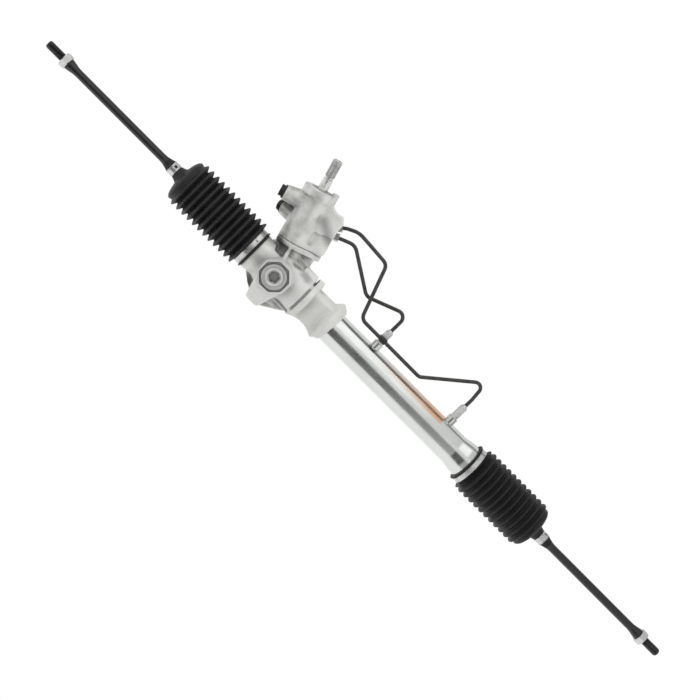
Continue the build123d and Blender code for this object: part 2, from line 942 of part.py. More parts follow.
def make_valve_housing():
    base = seam_height
    block = port_block()
    with BuildPart() as housing:
        with BuildSketch(tower_at(base)):
            flange_outline()
        extrude(amount=flange_thickness)
        with BuildSketch(tower_at(base)):
            Circle(valve_radius)
        extrude(amount=valve_top - base)
        with BuildSketch(tower_at(valve_top - head_height)):
            Circle(head_radius)
        extrude(amount=head_height)
        with BuildSketch(tower_at(valve_top)):
            with Locations(((seal_radius + head_radius + 0.6) / 2, 0)):
                RectangleRounded(head_radius - seal_radius - 0.6, 20, 3)
        extrude(amount=lug_height)
        add(block.part)
        for _, reach, side in hose_ports():
            with BuildSketch(side):
                Circle(hose_port_radius)
            extrude(amount=reach)
            with BuildSketch(side):
                Circle(hose_port_radius + 2 * hose_port_root)
            extrude(amount=reach - 4, taper=atan(2 * hose_port_root / (reach - 4)) * 180 / pi)
        # bores
        for low, high, radius in (
            (base, sleeve_high + 4, sleeve_radius_outer + running_gap),
            (base, base + 2, bearing_outer_radius + 1),
            (sleeve_high + 4, valve_top, needle_bush_radius + seat_gap),
            (sleeve_high + 13, valve_top, seal_radius + seat_gap),
        ):
            with BuildSketch(tower_at(low)):
                Circle(radius)
            extrude(amount=high - low, mode=Mode.SUBTRACT)
        with BuildSketch(tower_at(sleeve_high + 20)):
            Circle(seal_radius + 1)
        extrude(amount=1.5, mode=Mode.SUBTRACT)
        for _, reach, side in hose_ports():
            with BuildSketch(side.offset(sleeve_radius_outer - 2)):
                Circle(3)
            extrude(amount=reach, mode=Mode.SUBTRACT)
            with BuildSketch(side.offset(reach - hose_thread_depth)):
                Circle(hose_thread_radius)
            extrude(amount=hose_thread_depth, mode=Mode.SUBTRACT)
        for port in pipe_ports():
            with BuildSketch(port.offset(-pipe_union_depth)):
                Circle(pipe_union_radius)
            extrude(amount=pipe_union_depth + 1, mode=Mode.SUBTRACT)
            with BuildSketch(port):
                Circle(pipe_union_flats / 2 + 1.4)
            extrude(amount=8, mode=Mode.SUBTRACT)
        for place in flange_bolts():
            with BuildSketch(tower_at(base)):
                with Locations(place):
                    Circle(bolt_radius + seat_gap)
            extrude(amount=flange_thickness, mode=Mode.SUBTRACT)
            with BuildSketch(tower_at(base + flange_thickness)):
                with Locations(place):
                    Circle(bolt_head_flats / 2 + 2)
            extrude(amount=12, mode=Mode.SUBTRACT)
    keep(housing, "valve_housing")


def disc_stack():
    return disc_spring_count * (disc_spring_thickness + disc_spring_rise)


# ------------------------------------------------------------------ yoke
def make_yoke():
    saddle = rack_radius + seat_gap + yoke_pad_thickness
    back = plug_inner_face() - disc_stack()
    with BuildPart() as yoke:
        with BuildSketch(Plane(origin=(pinion_x, -back, 0), x_dir=(1, 0, 0), z_dir=(0, 1, 0))):
            Circle(yoke_radius)
        extrude(amount=back - yoke_front)
        with BuildSketch(Plane.YZ.offset(pinion_x - yoke_radius)):
            Circle(saddle)
        extrude(amount=2 * yoke_radius, mode=Mode.SUBTRACT)
    keep(yoke, "rack_yoke")

    with BuildPart() as pad:
        with BuildSketch(Plane(origin=(pinion_x, -back, 0), x_dir=(1, 0, 0), z_dir=(0, 1, 0))):
            Circle(yoke_radius - 0.8)
        extrude(amount=back - yoke_front)
        with BuildSketch(Plane.YZ.offset(pinion_x - yoke_radius)):
            Circle(saddle - 0.02)
        extrude(amount=2 * yoke_radius, mode=Mode.INTERSECT)
        with BuildSketch(Plane.YZ.offset(pinion_x - yoke_radius)):
            Circle(rack_radius + seat_gap)
        extrude(amount=2 * yoke_radius, mode=Mode.SUBTRACT)
    keep(pad, "yoke_pad")

    springs = [conical_washer(back + number * (disc_spring_thickness + disc_spring_rise))
               for number in range(disc_spring_count)]
    with BuildPart() as stack:
        for spring in springs:
            add(spring.part)
    keep(stack, "yoke_disc_springs")


def plug_inner_face():
    return yoke_boss_face + plug_proud - plug_length


def conical_washer(distance):
    """Disc spring whose inner edge stands off towards the plug."""
    inner, outer = 6.0, 13.5
    thickness = disc_spring_thickness - 0.05
    return turned(
        [
            (outer, -distance),
            (outer, -distance - thickness),
            (inner, -distance - thickness - disc_spring_rise),
            (inner, -distance - disc_spring_rise),
        ],
        yoke_profile,
        yoke_axis,
    )


def make_yoke_plug():
    outer = plug_inner_face() + plug_length
    sink = plug_recess_flats / 2 + 3.5
    with BuildPart() as plug:
        with BuildSketch(yoke_profile):
            with BuildLine():
                Polyline(
                    (0, -plug_inner_face() - seat_gap),
                    (plug_radius - 1, -plug_inner_face() - seat_gap),
                    (plug_radius, -plug_inner_face() - seat_gap - 1),
                    (plug_radius, 0.8 - outer),
                    (plug_radius - 0.8, -outer),
                    (sink, -outer),
                    (plug_recess_flats / 2 + 0.6, 1.6 - outer),
                    (0, 1.6 - outer),
                    close=True,
                )
            make_face()
        revolve(axis=yoke_axis)
        with BuildSketch(Plane(origin=(pinion_x, -outer, 0), x_dir=(1, 0, 0), z_dir=(0, 1, 0))):
            RegularPolygon(plug_recess_flats / 2, 6, major_radius=False)
        extrude(amount=plug_recess_depth + 1.6, mode=Mode.SUBTRACT)
    keep(plug, "yoke_plug")


# ------------------------------------------------------------------ bolts and port plugs
def make_flange_bolts():
    head_low = seam_height + flange_thickness + seat_gap
    with BuildPart() as bolts:
        for place in flange_bolts():
            with BuildSketch(tower_at(head_low)):
                with Locations(place):
                    RegularPolygon(bolt_head_flats / 2, 6, major_radius=False)
            extrude(amount=bolt_head_height)
            with BuildSketch(tower_at(seam_height - flange_thickness)):
                with Locations(place):
                    Circle(bolt_radius)
            extrude(amount=2 * flange_thickness + 1)
    keep(bolts, "seam_bolts")


def make_port_plugs():
    for name, reach, side in hose_ports():
        face = side.offset(reach)
        with BuildPart() as plug:
            with BuildSketch(face.offset(seat_gap)):
                Circle(hose_port_radius - 1.6)
            extrude(amount=2.4)
            with BuildSketch(face.offset(2.4)):
                Circle(hose_port_radius - 3.2)
            extrude(amount=5)
            with BuildSketch(face.offset(0.5 - hose_thread_depth)):
                Circle(hose_thread_radius - seat_gap)
            extrude(amount=hose_thread_depth)
        keep(plug, name)


# ------------------------------------------------------------------ cylinder tube, seals and bush
def make_tube():
    seat_start = tube_end - right_seat_length
    inner_flare = boot_seat_radius - (tube_radius - tube_bore_radius)
    with BuildPart() as tube:
        with BuildSketch(rack_profile):
            with BuildLine():
                Polyline(
                    (tube_start, tube_bore_radius),
                    (tube_start, tube_radius - 1),
                    (tube_start + 1, tube_radius),
                    (flare_start, tube_radius),
                    (flare_start + flare_length, boot_seat_radius),
                    (tube_end, boot_seat_radius),
                    (tube_end, inner_flare),
                    (flare_start + flare_length, inner_flare),
                    (flare_start, tube_bore_radius),
                    close=True,
                )
            make_face()
        revolve(axis=Axis.X)
        for port_x in (tube_port_left_x, tube_port_right_x):
            with BuildSketch(Plane.XY):
                with Locations((port_x, 0)):
                    Circle(2.5)
            extrude(amount=tube_radius + 1, mode=Mode.SUBTRACT)
    keep(tube, "cylinder_tube")

    for name, port_x in (("tube_port_left", tube_port_left_x), ("tube_port_right", tube_port_right_x)):
        with BuildPart() as port:
            with BuildSketch(Plane.XY.offset(tube_radius - 2)):
                with Locations((port_x, 0)):
                    Circle(port_boss_radius)
            extrude(amount=port_boss_height + 2)
            with BuildSketch(Plane.YZ.offset(port_x - port_boss_radius)):
                Circle(tube_radius + 0.02)
            extrude(amount=2 * port_boss_radius, mode=Mode.SUBTRACT)
            with BuildSketch(Plane.XY):
                with Locations((port_x, 0)):
                    Circle(port_thread_radius)
            extrude(amount=tube_radius + port_boss_height, mode=Mode.SUBTRACT)
        keep(port, name)

    hole = rack_radius + 0.4
    seal_hole = rack_radius + running_gap
    carrier_outer = tube_bore_radius - seat_gap
    for name, start, seal_on_right in (
        ("inner_seal_carrier", inner_seal_x, True),
        ("outer_seal_carrier", outer_seal_x, False),
    ):
        end = start + seal_carrier_length
        inner, seat = (start, end) if seal_on_right else (end, start)
        step = seal_length + 0.3
        lip = seat - step if seal_on_right else seat + step
        carrier = turned([
            (inner, hole),
            (inner, carrier_outer),
            (seat, carrier_outer),
            (seat, rack_radius + 5),
            (lip, rack_radius + 5),
            (lip, hole),
        ])
        keep(carrier, name)
    seal_start = inner_seal_x + seal_carrier_length - seal_length
    keep(ring(seal_start, seal_start + seal_length, seal_hole, rack_radius + 5 - seat_gap), "inner_rack_seal")
    keep(ring(outer_seal_x, outer_seal_x + seal_length, seal_hole, rack_radius + 5 - seat_gap), "outer_rack_seal")
    keep(ring(tube_end - rack_bush_length, tube_end, seal_hole, inner_flare - seat_gap), "rack_end_bush")


# ------------------------------------------------------------------ steel transfer pipes
long_pipe_points = [
    (-33, 15.5, 111),
    (-18, 13, 113),
    (5, 8, 111),
    (24, 2, 109),
    (34, -1, 97),
    (40, -4, 72),
    (45, -7, 50),
    (53, -9.5, 38.5),
    (72, -10, 37.5),
    (110, -10, 37.5),
    (146, -9.5, 37.5),
    (163, -8, 41),
    (188, -6, 62),
    (210, -3, 82),
    (222, -1.5, 87),
    (231, -0.4, 80),
]
short_pipe_points = [
    (-29, 15.5, 94),
    (-19, 14, 95),
    (-8, 12.5, 88.5),
    (11, 9.5, 75),
    (30, 7, 62.5),
    (44, 5, 62),
    (58, 3, 70),
    (72, 1, 77.5),
    (82, 0.5, 79),
    (90, 0.1, 73),
]


def pipe_ports():
    """Planes on the port block where the long and the short pipe leave it."""
    ports = []
    for across, height, rise in (
        (port_block_reach - 1.5, long_pipe_port_height, long_pipe_rise),
        (port_block_reach, long_pipe_port_height - pipe_port_spacing, short_pipe_rise),
    ):
        origin = tower.from_local_coords((across, 0, height))
        ahead = tower.from_local_coords((across + cos(radians(rise)), 0, height + sin(radians(rise))))
        ports.append(Plane(origin=origin, z_dir=ahead - origin))
    return ports


def make_pipes():
    boss_top = tube_radius + port_boss_height
    long_port, short_port = pipe_ports()
    for name, port, points, port_x in (
        ("long_transfer_pipe", long_port, long_pipe_points, tube_port_right_x),
        ("short_transfer_pipe", short_port, short_pipe_points, tube_port_left_x),
    ):
        start = port.offset(1 - pipe_union_depth).origin
        leave = port.offset(pipe_union_length + 6).origin
        end = [(port_x, 0, boss_top + pipe_nut_length + 10), (port_x, 0, boss_top - 4)]
        keep(routed_pipe([start, leave] + points + end), name)

    with BuildPart() as unions:
        for port in pipe_ports():
            with BuildSketch(port.offset(seat_gap)):
                RegularPolygon(pipe_union_flats / 2, 6, major_radius=False)
            extrude(amount=pipe_union_length)
            with BuildSketch(port.offset(0.5 - pipe_union_depth)):
                Circle(pipe_union_radius - seat_gap)
            extrude(amount=pipe_union_depth)
            with BuildSketch(port.offset(-pipe_union_depth)):
                Circle(pipe_radius + seat_gap)
            extrude(amount=3 * pipe_union_depth, mode=Mode.SUBTRACT)
    keep(unions, "valve_pipe_nuts")

    with BuildPart() as nuts:
        for port_x in (tube_port_left_x, tube_port_right_x):
            with BuildSketch(Plane.XY.offset(boss_top + seat_gap)):
                with Locations((port_x, 0)):
                    RegularPolygon(pipe_nut_flats / 2, 6, major_radius=False, rotation=30)
            extrude(amount=pipe_nut_length)
            with BuildSketch(Plane.XY.offset(boss_top + pipe_nut_length)):
                with Locations((port_x, 0)):
                    Circle(pipe_nut_flats / 2 - 0.2)
            extrude(amount=3, taper=30)
            with BuildSketch(Plane.XY.offset(boss_top - 6)):
                with Locations((port_x, 0)):
                    Circle(port_thread_radius - seat_gap)
            extrude(amount=7)
            with BuildSketch(Plane.XY):
                with Locations((port_x, 0)):
                    Circle(pipe_radius + seat_gap)
            extrude(amount=2 * boss_top + pipe_nut_length, mode=Mode.SUBTRACT)
    keep(nuts, "tube_pipe_nuts")


def make_pipe_clip():
    """Clip on the left tube nut that steadies the long pipe where it passes."""
    pipe_y, pipe_z = -10.0, 37.5
    half_nut = pipe_nut_flats / 2 + seat_gap
    with BuildPart() as clip:
        with BuildSketch(Plane.YZ.offset(tube_port_left_x - clip_length / 2)):
            with Locations((pipe_y, pipe_z)):
                Circle(pipe_radius + 1.6)
            with Locations((pipe_y / 2 - 1, pipe_z)):
                Rectangle(-pipe_y - 2, 5)
        extrude(amount=clip_length)
        with BuildSketch(Plane.XY.offset(pipe_z - 2.5)):
            with Locations((tube_port_left_x, 0)):
                Rectangle(2 * half_nut + 2.4, 10)
        extrude(amount=5)
        with BuildSketch(Plane.XY.offset(pipe_z - 5)):
            with Locations((tube_port_left_x, 0)):
                RegularPolygon(half_nut, 6, major_radius=False, rotation=30)
            with Locations((tube_port_left_x, 10)):
                Rectangle(2 * half_nut - 1, 20)
        extrude(amount=10, mode=Mode.SUBTRACT)
        with BuildSketch(Plane.YZ.offset(tube_port_left_x - clip_length)):
            with Locations((pipe_y, pipe_z)):
                Circle(pipe_radius + seat_gap)
        extrude(amount=2 * clip_length, mode=Mode.SUBTRACT)
    keep(clip, "pipe_clip")


# ------------------------------------------------------------------ ball joints and tie rods
def make_socket(side, name, centre):
    """Screwed-in socket of an inner ball joint, with the claw washer that locks it."""
    plane, axis = outward(side, centre), Axis((centre, 0, 0), (side, 0, 0))
    base = washer_thickness - ball_offset
    cavity = ball_radius + ball_seat_thickness + seat_gap
    mouth = sqrt(cavity**2 - socket_mouth_radius**2)
    shank_end = -ball_offset - socket_shank_length
    base_radius = socket_radius - 3
    with BuildPart() as socket:
        with BuildSketch(plane):
            with BuildLine():
                Polyline(
                    (-cavity, 0),
                    (shank_end, 0),
                    (shank_end, socket_shank_radius - 0.8),
                    (shank_end + 0.8, socket_shank_radius),
                    (base + seat_gap, socket_shank_radius),
                    (base + seat_gap, base_radius),
                    (base + 7, base_radius),
                    (base + 11, socket_radius),
                    (mouth - 2.5, socket_radius),
                    (mouth + 0.5, base_radius),
                    (mouth + 0.5, socket_mouth_radius + 1.6),
                    (mouth, socket_mouth_radius),
                )
                ThreePointArc((mouth, socket_mouth_radius), (0, cavity), (-cavity, 0))
            make_face()
        revolve(axis=axis)
        for facing in (-1, 1):
            with BuildSketch(beside(centre, facing, base_radius - 1)):
                with Locations((side * (base + 3.5), 0)):
                    Rectangle(7, 2 * base_radius)
            extrude(amount=2, mode=Mode.SUBTRACT)
    keep(socket, f"ball_socket_{name}")

    with BuildPart() as washer:
        with BuildSketch(Plane(origin=(centre - side * ball_offset, 0, 0), z_dir=(side, 0, 0))):
            Circle(washer_radius)
            Circle(socket_shank_radius + seat_gap, mode=Mode.SUBTRACT)
        extrude(amount=washer_thickness)
        for facing in (-1, 1):
            with BuildSketch(beside(centre, facing, base_radius - 1 + seat_gap)):
                with Locations((side * (base + 1.5), 0)):
                    Rectangle(5, 9)
            extrude(amount=1.6)
    keep(washer, f"claw_washer_{name}")

    rim, back = radians(59), radians(140)
    inner, outer = ball_radius + seat_gap, cavity - seat_gap
    middle = (rim + back) / 2
    with BuildPart() as seat:
        with BuildSketch(plane):
            with BuildLine():
                ThreePointArc(*[(inner * cos(turn), inner * sin(turn)) for turn in (rim, middle, back)])
                Line((inner * cos(back), inner * sin(back)), (outer * cos(back), outer * sin(back)))
                ThreePointArc(*[(outer * cos(turn), outer * sin(turn)) for turn in (back, middle, rim)])
                Line((outer * cos(rim), outer * sin(rim)), (inner * cos(rim), inner * sin(rim)))
            make_face()
        revolve(axis=axis)
    keep(seat, f"ball_seat_{name}")


def make_tie_rod(side, name, centre):
    plane, axis = outward(side, centre), Axis((centre, 0, 0), (side, 0, 0))
    ball_edge = sqrt(ball_radius**2 - rod_neck_radius**2)
    seat_start = cuff_distance - small_band_width / 2 - 2
    seat_end = cuff_distance + small_band_width / 2 + cuff_tail + 0.5
    relief = nut_position + nut_width + 0.5
    with BuildPart() as rod:
        with BuildSketch(plane):
            with BuildLine():
                ThreePointArc((-ball_radius, 0), (0, ball_radius), (ball_edge, rod_neck_radius))
                Polyline(
                    (ball_edge, rod_neck_radius),
                    (ball_radius + 2, rod_neck_radius),
                    (ball_radius + 6, rod_radius),
                    (seat_start - 1, rod_radius),
                    (seat_start, cuff_seat_radius),
                    (seat_end, cuff_seat_radius),
                    (seat_end + 1, rod_radius),
                    (nut_position - rod_flare_length, rod_radius),
                    (nut_position - 1, rod_flare_radius),
                    (nut_position, rod_flare_radius),
                    (nut_position, thread_radius),
                    (relief, thread_radius),
                    (relief, relief_radius),
                    (relief + relief_width, relief_radius),
                    (relief + relief_width, thread_radius),
                    (rod_tip - 1.2, thread_radius),
                    (rod_tip, thread_radius - 1.2),
                    (rod_tip, 0),
                    (-ball_radius, 0),
                )
            make_face()
        revolve(axis=axis)
    keep(rod, f"tie_rod_{name}")

    start = Plane(origin=(centre + side * (nut_position + seat_gap), 0, 0), x_dir=(0, 1, 0), z_dir=(side, 0, 0))
    blank = turned(
        [
            (nut_position + seat_gap, thread_radius + seat_gap),
            (nut_position + seat_gap, nut_flats / 2 - 0.2),
            (nut_position + seat_gap + 1, nut_flats / 2 + 1.4),
            (nut_position + nut_width - 1, nut_flats / 2 + 1.4),
            (nut_position + nut_width, nut_flats / 2 - 0.2),
            (nut_position + nut_width, thread_radius + seat_gap),
        ],
        plane,
        axis,
    )
    with BuildPart() as nut:
        with BuildSketch(start):
            RegularPolygon(nut_flats / 2, 6, major_radius=False)
        extrude(amount=nut_width)
        add(blank.part, mode=Mode.INTERSECT)
    keep(nut, f"jam_nut_{name}")


# ------------------------------------------------------------------ boots and their clamps
def make_boot(side, name, lip_x, ball_x, lip_width, first_crest):
    """Corrugated boot from its large cuff on the housing to its small cuff on the tie rod."""
    plane, axis = outward(side, lip_x), Axis((lip_x, 0, 0), (side, 0, 0))
    cuff = side * (ball_x - lip_x) + cuff_distance
    cuff_start = cuff - small_band_width / 2
    cuff_end = cuff + small_band_width / 2
    dome = cuff - dome_length
    last_valley = dome - boot_pitch / 2 - 1
    crests = int((last_valley - first_crest) / boot_pitch) + 1
    band_end = lip_width + band_width
    under_band = boot_seat_radius + cuff_wall
    seat = boot_seat_radius + seat_gap
    rod = cuff_seat_radius + seat_gap
    wall_start = (band_end + first_crest) / 2
    first_fold = boot_crest_radius - 3
    outer = [
        (0, boot_lip_radius),
        (lip_width / 2, boot_lip_radius),
        (lip_width, under_band),
        (band_end, under_band),
        (band_end + 0.5, first_fold),
    ]
    inner = [(0, seat), (wall_start, seat), (wall_start, first_fold - boot_wall)]
    for number in range(crests):
        crest = first_crest + number * boot_pitch
        valley = crest + boot_pitch / 2
        outer += [(crest, boot_crest_radius), (valley, boot_root_radius)]
        inner += [(crest, boot_crest_radius - boot_wall), (valley, boot_root_radius - boot_wall)]
    outer += [
        (dome, dome_radius),
        (dome + 0.7 * (dome_length - boot_neck_length), dome_swell),
        (cuff - boot_neck_length, boot_neck_radius),
        (cuff_start, cuff_radius + 1.1),
        (cuff_start, cuff_radius),
        (cuff_end, cuff_radius),
        (cuff_end, cuff_radius + 0.3),
        (cuff_end + cuff_tail, rod + 0.9),
        (cuff_end + cuff_tail, rod),
    ]
    inner += [
        (dome, dome_radius - boot_wall),
        (dome + 0.55 * (dome_length - boot_neck_length), dome_swell - boot_wall),
        (cuff - boot_neck_length - 1, boot_neck_radius - boot_wall),
        (cuff_start - 2, rod),
    ]
    keep(turned(outer + inner[::-1], plane, axis), f"boot_{name}")

    for band, start, end, under in (
        (f"boot_band_{name}", lip_width + band_inset, band_end - band_inset, under_band + seat_gap),
        (f"cuff_clip_{name}", cuff_start + band_inset, cuff_end - band_inset, cuff_radius + seat_gap),
    ):
        keep(ring(start, end, under, under + band_thickness, plane, axis), band)


def make_sides():
    left_ball = rack_left_end - ball_offset
    right_ball = rack_right_end + ball_offset
    for side, name, centre in ((-1, "left", left_ball), (1, "right", right_ball)):
        make_socket(side, name, centre)
        make_tie_rod(side, name, centre)
    left_lip = housing_left_end + left_seat_length
    right_lip = tube_end - right_seat_length
    make_boot(-1, "left", left_lip, left_ball, left_lip_width, left_first_crest)
    make_boot(1, "right", right_lip, right_ball, right_lip_width, right_first_crest)


# ------------------------------------------------------------------ build
os.makedirs("parts", exist_ok=True)
make_rack_bar()
make_piston()
make_pinion_shaft()
make_valve()
make_input_shaft()
make_torsion_bar()
make_tower_bearings()
make_pinion_housing()
make_valve_housing()
make_yoke()
make_yoke_plug()
make_flange_bolts()
make_port_plugs()
make_tube()
make_pipes()
make_pipe_clip()
make_sides()
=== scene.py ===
"""A hydraulic steering rack: materials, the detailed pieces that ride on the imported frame, camera and studio."""
import json
from math import asin, atan2, ceil, cos, pi, radians, sin, sqrt, tan

import bmesh
import bpy
from mathutils import Matrix, Vector, noise


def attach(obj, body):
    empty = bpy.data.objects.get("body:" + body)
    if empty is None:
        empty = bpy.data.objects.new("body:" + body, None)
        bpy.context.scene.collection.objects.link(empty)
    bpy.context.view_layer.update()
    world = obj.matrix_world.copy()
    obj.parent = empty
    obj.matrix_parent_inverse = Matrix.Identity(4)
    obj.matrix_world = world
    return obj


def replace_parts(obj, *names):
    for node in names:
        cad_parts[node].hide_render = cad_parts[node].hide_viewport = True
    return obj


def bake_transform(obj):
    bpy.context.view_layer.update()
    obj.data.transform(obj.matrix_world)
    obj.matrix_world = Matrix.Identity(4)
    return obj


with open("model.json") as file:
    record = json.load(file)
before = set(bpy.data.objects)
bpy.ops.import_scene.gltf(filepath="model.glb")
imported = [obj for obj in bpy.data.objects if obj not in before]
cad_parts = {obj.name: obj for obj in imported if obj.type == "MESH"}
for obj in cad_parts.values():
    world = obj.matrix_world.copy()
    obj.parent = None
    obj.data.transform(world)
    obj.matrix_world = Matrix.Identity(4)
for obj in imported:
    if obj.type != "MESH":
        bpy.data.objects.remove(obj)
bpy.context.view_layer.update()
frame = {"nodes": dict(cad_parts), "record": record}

# ------------------------------------------------------------------ driving values (metres, degrees)
# camera: the picture is 699 pixels wide, and its metres per pixel hold at the rack's axis
photo_width_px = 699
metres_per_px = 0.00133
camera_distance = 2.261
camera_heading = 6.0
camera_drop = 9.0
rack_tilt_in_view = 45.06
sight_point = (0.0826, 0.0, 0.0)
sight_right_px = -8.5
sight_up_px = 3.6

# the gear's own stations: the yoke, the leaning axis of the pinion and the balls that the tie rods turn about
yoke_x = -0.070
tower_lean = 16.3
tower_foot = (yoke_x, 0.0168055, 0.0)
ball_left_x = -0.2175
ball_right_x = 0.3925

# the detailed pieces are drawn in millimetres and scaled by this
millimetre = 0.001


# ------------------------------------------------------------------ node helpers
class Surface:
    """A node material that is built step by step around one Principled shader."""

    def __init__(self, name, colour, metallic=0.0, roughness=0.5, specular=0.5):
        self.material = bpy.data.materials.new(name)
        self.material.use_nodes = True
        self.tree = self.material.node_tree
        self.shader = self.tree.nodes["Principled BSDF"]
        self.shader.inputs["Base Color"].default_value = (*colour, 1)
        self.shader.inputs["Metallic"].default_value = metallic
        self.shader.inputs["Roughness"].default_value = roughness
        self.shader.inputs["Specular IOR Level"].default_value = specular
        self.colour = colour
        self.place = self.tree.nodes.new("ShaderNodeTexCoord").outputs["Object"]
        self.normal = None

    def node(self, kind, **inputs):
        """A new node, with its inputs given by name as values or as sockets to link."""
        made = self.tree.nodes.new(kind)
        for key, value in inputs.items():
            self.feed(made, key.replace("_", " "), value)
        return made

    def feed(self, made, key, value):
        """Links a socket to an input, or sets the input to a value."""
        if isinstance(value, bpy.types.NodeSocket):
            self.tree.links.new(value, made.inputs[key])
        else:
            made.inputs[key].default_value = value

    def stretched(self, along_x):
        """The object's coordinates with X scaled down, so that a pattern is drawn out along the rack."""
        mapping = self.node("ShaderNodeMapping", Vector=self.place)
        mapping.inputs["Scale"].default_value = (along_x, 1, 1)
        return mapping.outputs["Vector"]

    def over(self, axis, low, high, start, end):
        """A value that goes from low to high between two stations on one of the object's axes."""
        split = self.node("ShaderNodeSeparateXYZ", Vector=self.place)
        return self.ramp(split.outputs[axis], low, high, start, end)

    def noise(self, per_metre, detail=3.0, roughness=0.55, place=None):
        made = self.node("ShaderNodeTexNoise", Vector=place or self.place, Scale=per_metre, Detail=detail)
        made.inputs["Roughness"].default_value = roughness
        return made.outputs["Fac"]

    def ramp(self, factor, low, high, start=0.3, end=0.7):
        """A value that goes from low to high while factor goes from start to end."""
        made = self.tree.nodes.new("ShaderNodeMapRange")
        self.tree.links.new(factor, made.inputs["Value"])
        for key, value in (("From Min", start), ("From Max", end), ("To Min", low), ("To Max", high)):
            made.inputs[key].default_value = value
        return made.outputs["Result"]

    def mix(self, factor, first, second):
        """A colour between the first, at a factor of 0, and the second."""
        made = self.tree.nodes.new("ShaderNodeMix")
        made.data_type = "RGBA"
        self.tree.links.new(factor, made.inputs["Factor"])
        for socket, value in ((made.inputs[6], first), (made.inputs[7], second)):
            if isinstance(value, bpy.types.NodeSocket):
                self.tree.links.new(value, socket)
            else:
                socket.default_value = (*value, 1)
        return made.outputs[2]

    def product(self, first, second):
        made = self.tree.nodes.new("ShaderNodeMath")
        made.operation = "MULTIPLY"
        self.feed(made, 0, first)
        self.feed(made, 1, second)
        return made.outputs["Value"]

    def paint(self, colour):
        """Makes a colour socket the base colour."""
        self.tree.links.new(colour, self.shader.inputs["Base Color"])

    def paint_recess_shade(self, colour, dark, reach, start, end):
        """Makes a colour the base colour, with painted shade darkening it in recesses narrower than a reach."""
        shade = self.node("ShaderNodeAmbientOcclusion", Distance=reach)
        hidden = self.ramp(shade.outputs["AO"], 1, 0, start, end)
        self.paint(self.mix(hidden, colour, dark))

    def mottle(self, per_metre, darker, lighter):
        """Colour that wanders between a darker and a lighter share of the base colour."""
        low = [channel * darker for channel in self.colour]
        high = [min(1, channel * lighter) for channel in self.colour]
        factor = self.ramp(self.noise(per_metre), 0, 1, 0.35, 0.65)
        colour = self.mix(factor, low, high)
        self.paint(colour)
        return colour

    def rough(self, per_metre, low, high, place=None):
        """Roughness that wanders between two values."""
        factor = self.ramp(self.noise(per_metre, place=place), low, high)
        self.tree.links.new(factor, self.shader.inputs["Roughness"])

    def bump(self, height, distance, strength):
        """Lays a relief over the ones given before it."""
        made = self.node("ShaderNodeBump", Height=height, Distance=distance, Strength=strength)
        if self.normal:
            self.tree.links.new(self.normal, made.inputs["Normal"])
        self.normal = made.outputs["Normal"]
        self.tree.links.new(self.normal, self.shader.inputs["Normal"])


# ------------------------------------------------------------------ materials
def cast_aluminium():
    """Sand-cast skin: pale grey, duller on the sleeve, with painted shade low down, in its recesses and in its
    hollows.
    """
    sleeve_tone = (0.44, 0.445, 0.42)
    low_shade_tone = (0.62, 0.625, 0.60)
    hollow_shade_tone = (0.11, 0.113, 0.106)
    recess_shade_tone = (0.17, 0.175, 0.16)
    made = Surface("cast_aluminium", (0.86, 0.865, 0.83), 0.2, 0.5)
    pale = made.mottle(38, 0.90, 1.05)
    sleeve_end = made.over("X", 1, 0, -0.100, -0.052)
    cloudy = made.ramp(made.noise(55, 2), 0.25, 1, 0.35, 0.7)
    skin = made.mix(made.product(sleeve_end, cloudy), pale, sleeve_tone)
    # painted shade: the castings go towards a darker tone low down
    skin = made.mix(made.over("Z", 0.4, 0, 0.025, 0.06), skin, low_shade_tone)
    # painted shade: each hollow's share, kept on the mesh, darkens the skin
    hollow_shade = made.tree.nodes.new("ShaderNodeAttribute")
    hollow_shade.attribute_name = "hollow_shade"
    hollow_shaded = made.mix(made.ramp(hollow_shade.outputs["Fac"], 0, 1, 0, 0.9), skin, hollow_shade_tone)
    # painted shade: recesses narrower than 16 mm go towards a dark tone
    made.paint_recess_shade(hollow_shaded, recess_shade_tone, 0.016, 0.3, 0.97)
    made.tree.links.new(made.ramp(sleeve_end, 0.15, 0.7, 0, 1), made.shader.inputs["Metallic"])
    made.rough(160, 0.40, 0.58)
    made.bump(made.noise(900, 4, 0.65), 0.00022, 0.55)
    made.bump(made.noise(210, 2), 0.00045, 0.35)
    return made.material


def machined_aluminium():
    """Turned aluminium with painted shade darkening its grooves and socket."""
    made = Surface("machined_aluminium", (0.60, 0.605, 0.585), 0.8, 0.42)
    # painted shade in the grooves and the socket
    made.paint_recess_shade(made.mottle(90, 0.88, 1.06), (0.16, 0.165, 0.155), 0.010, 0.25, 0.95)
    made.rough(240, 0.36, 0.50)
    made.bump(made.noise(1500, 2), 0.00008, 0.4)
    return made.material


def bright_tube():
    """Bright drawn tube with faint draw lines, and copper staining on top between its two pipe unions."""
    copper = (0.62, 0.36, 0.22)
    made = Surface("bright_tube", (0.605, 0.62, 0.60), 1.0, 0.2)
    plain = made.mottle(22, 0.94, 1.03)
    share = made.over("X", 0, 1, 0.10, 0.205)
    for factor in (
        made.over("X", 1, 0, 0.2235, 0.2265),
        made.over("Z", 0, 1, 0.0125, 0.0155),
        made.ramp(made.noise(60, 2, place=made.stretched(0.25)), 0.7, 1, 0.3, 0.6),
    ):
        share = made.product(share, factor)
    made.paint(made.mix(share, plain, copper))
    made.rough(60, 0.17, 0.26, made.stretched(0.4))
    made.bump(made.noise(700, 2, place=made.stretched(0.08)), 0.00004, 0.35)
    return made.material


def plain_metal(name, colour, roughness):
    made = Surface(name, colour, 1.0, roughness)
    made.mottle(120, 0.86, 1.08)
    made.rough(260, roughness * 0.8, min(1, roughness * 1.3))
    made.bump(made.noise(900, 3), 0.00002, 0.4)
    return made.material


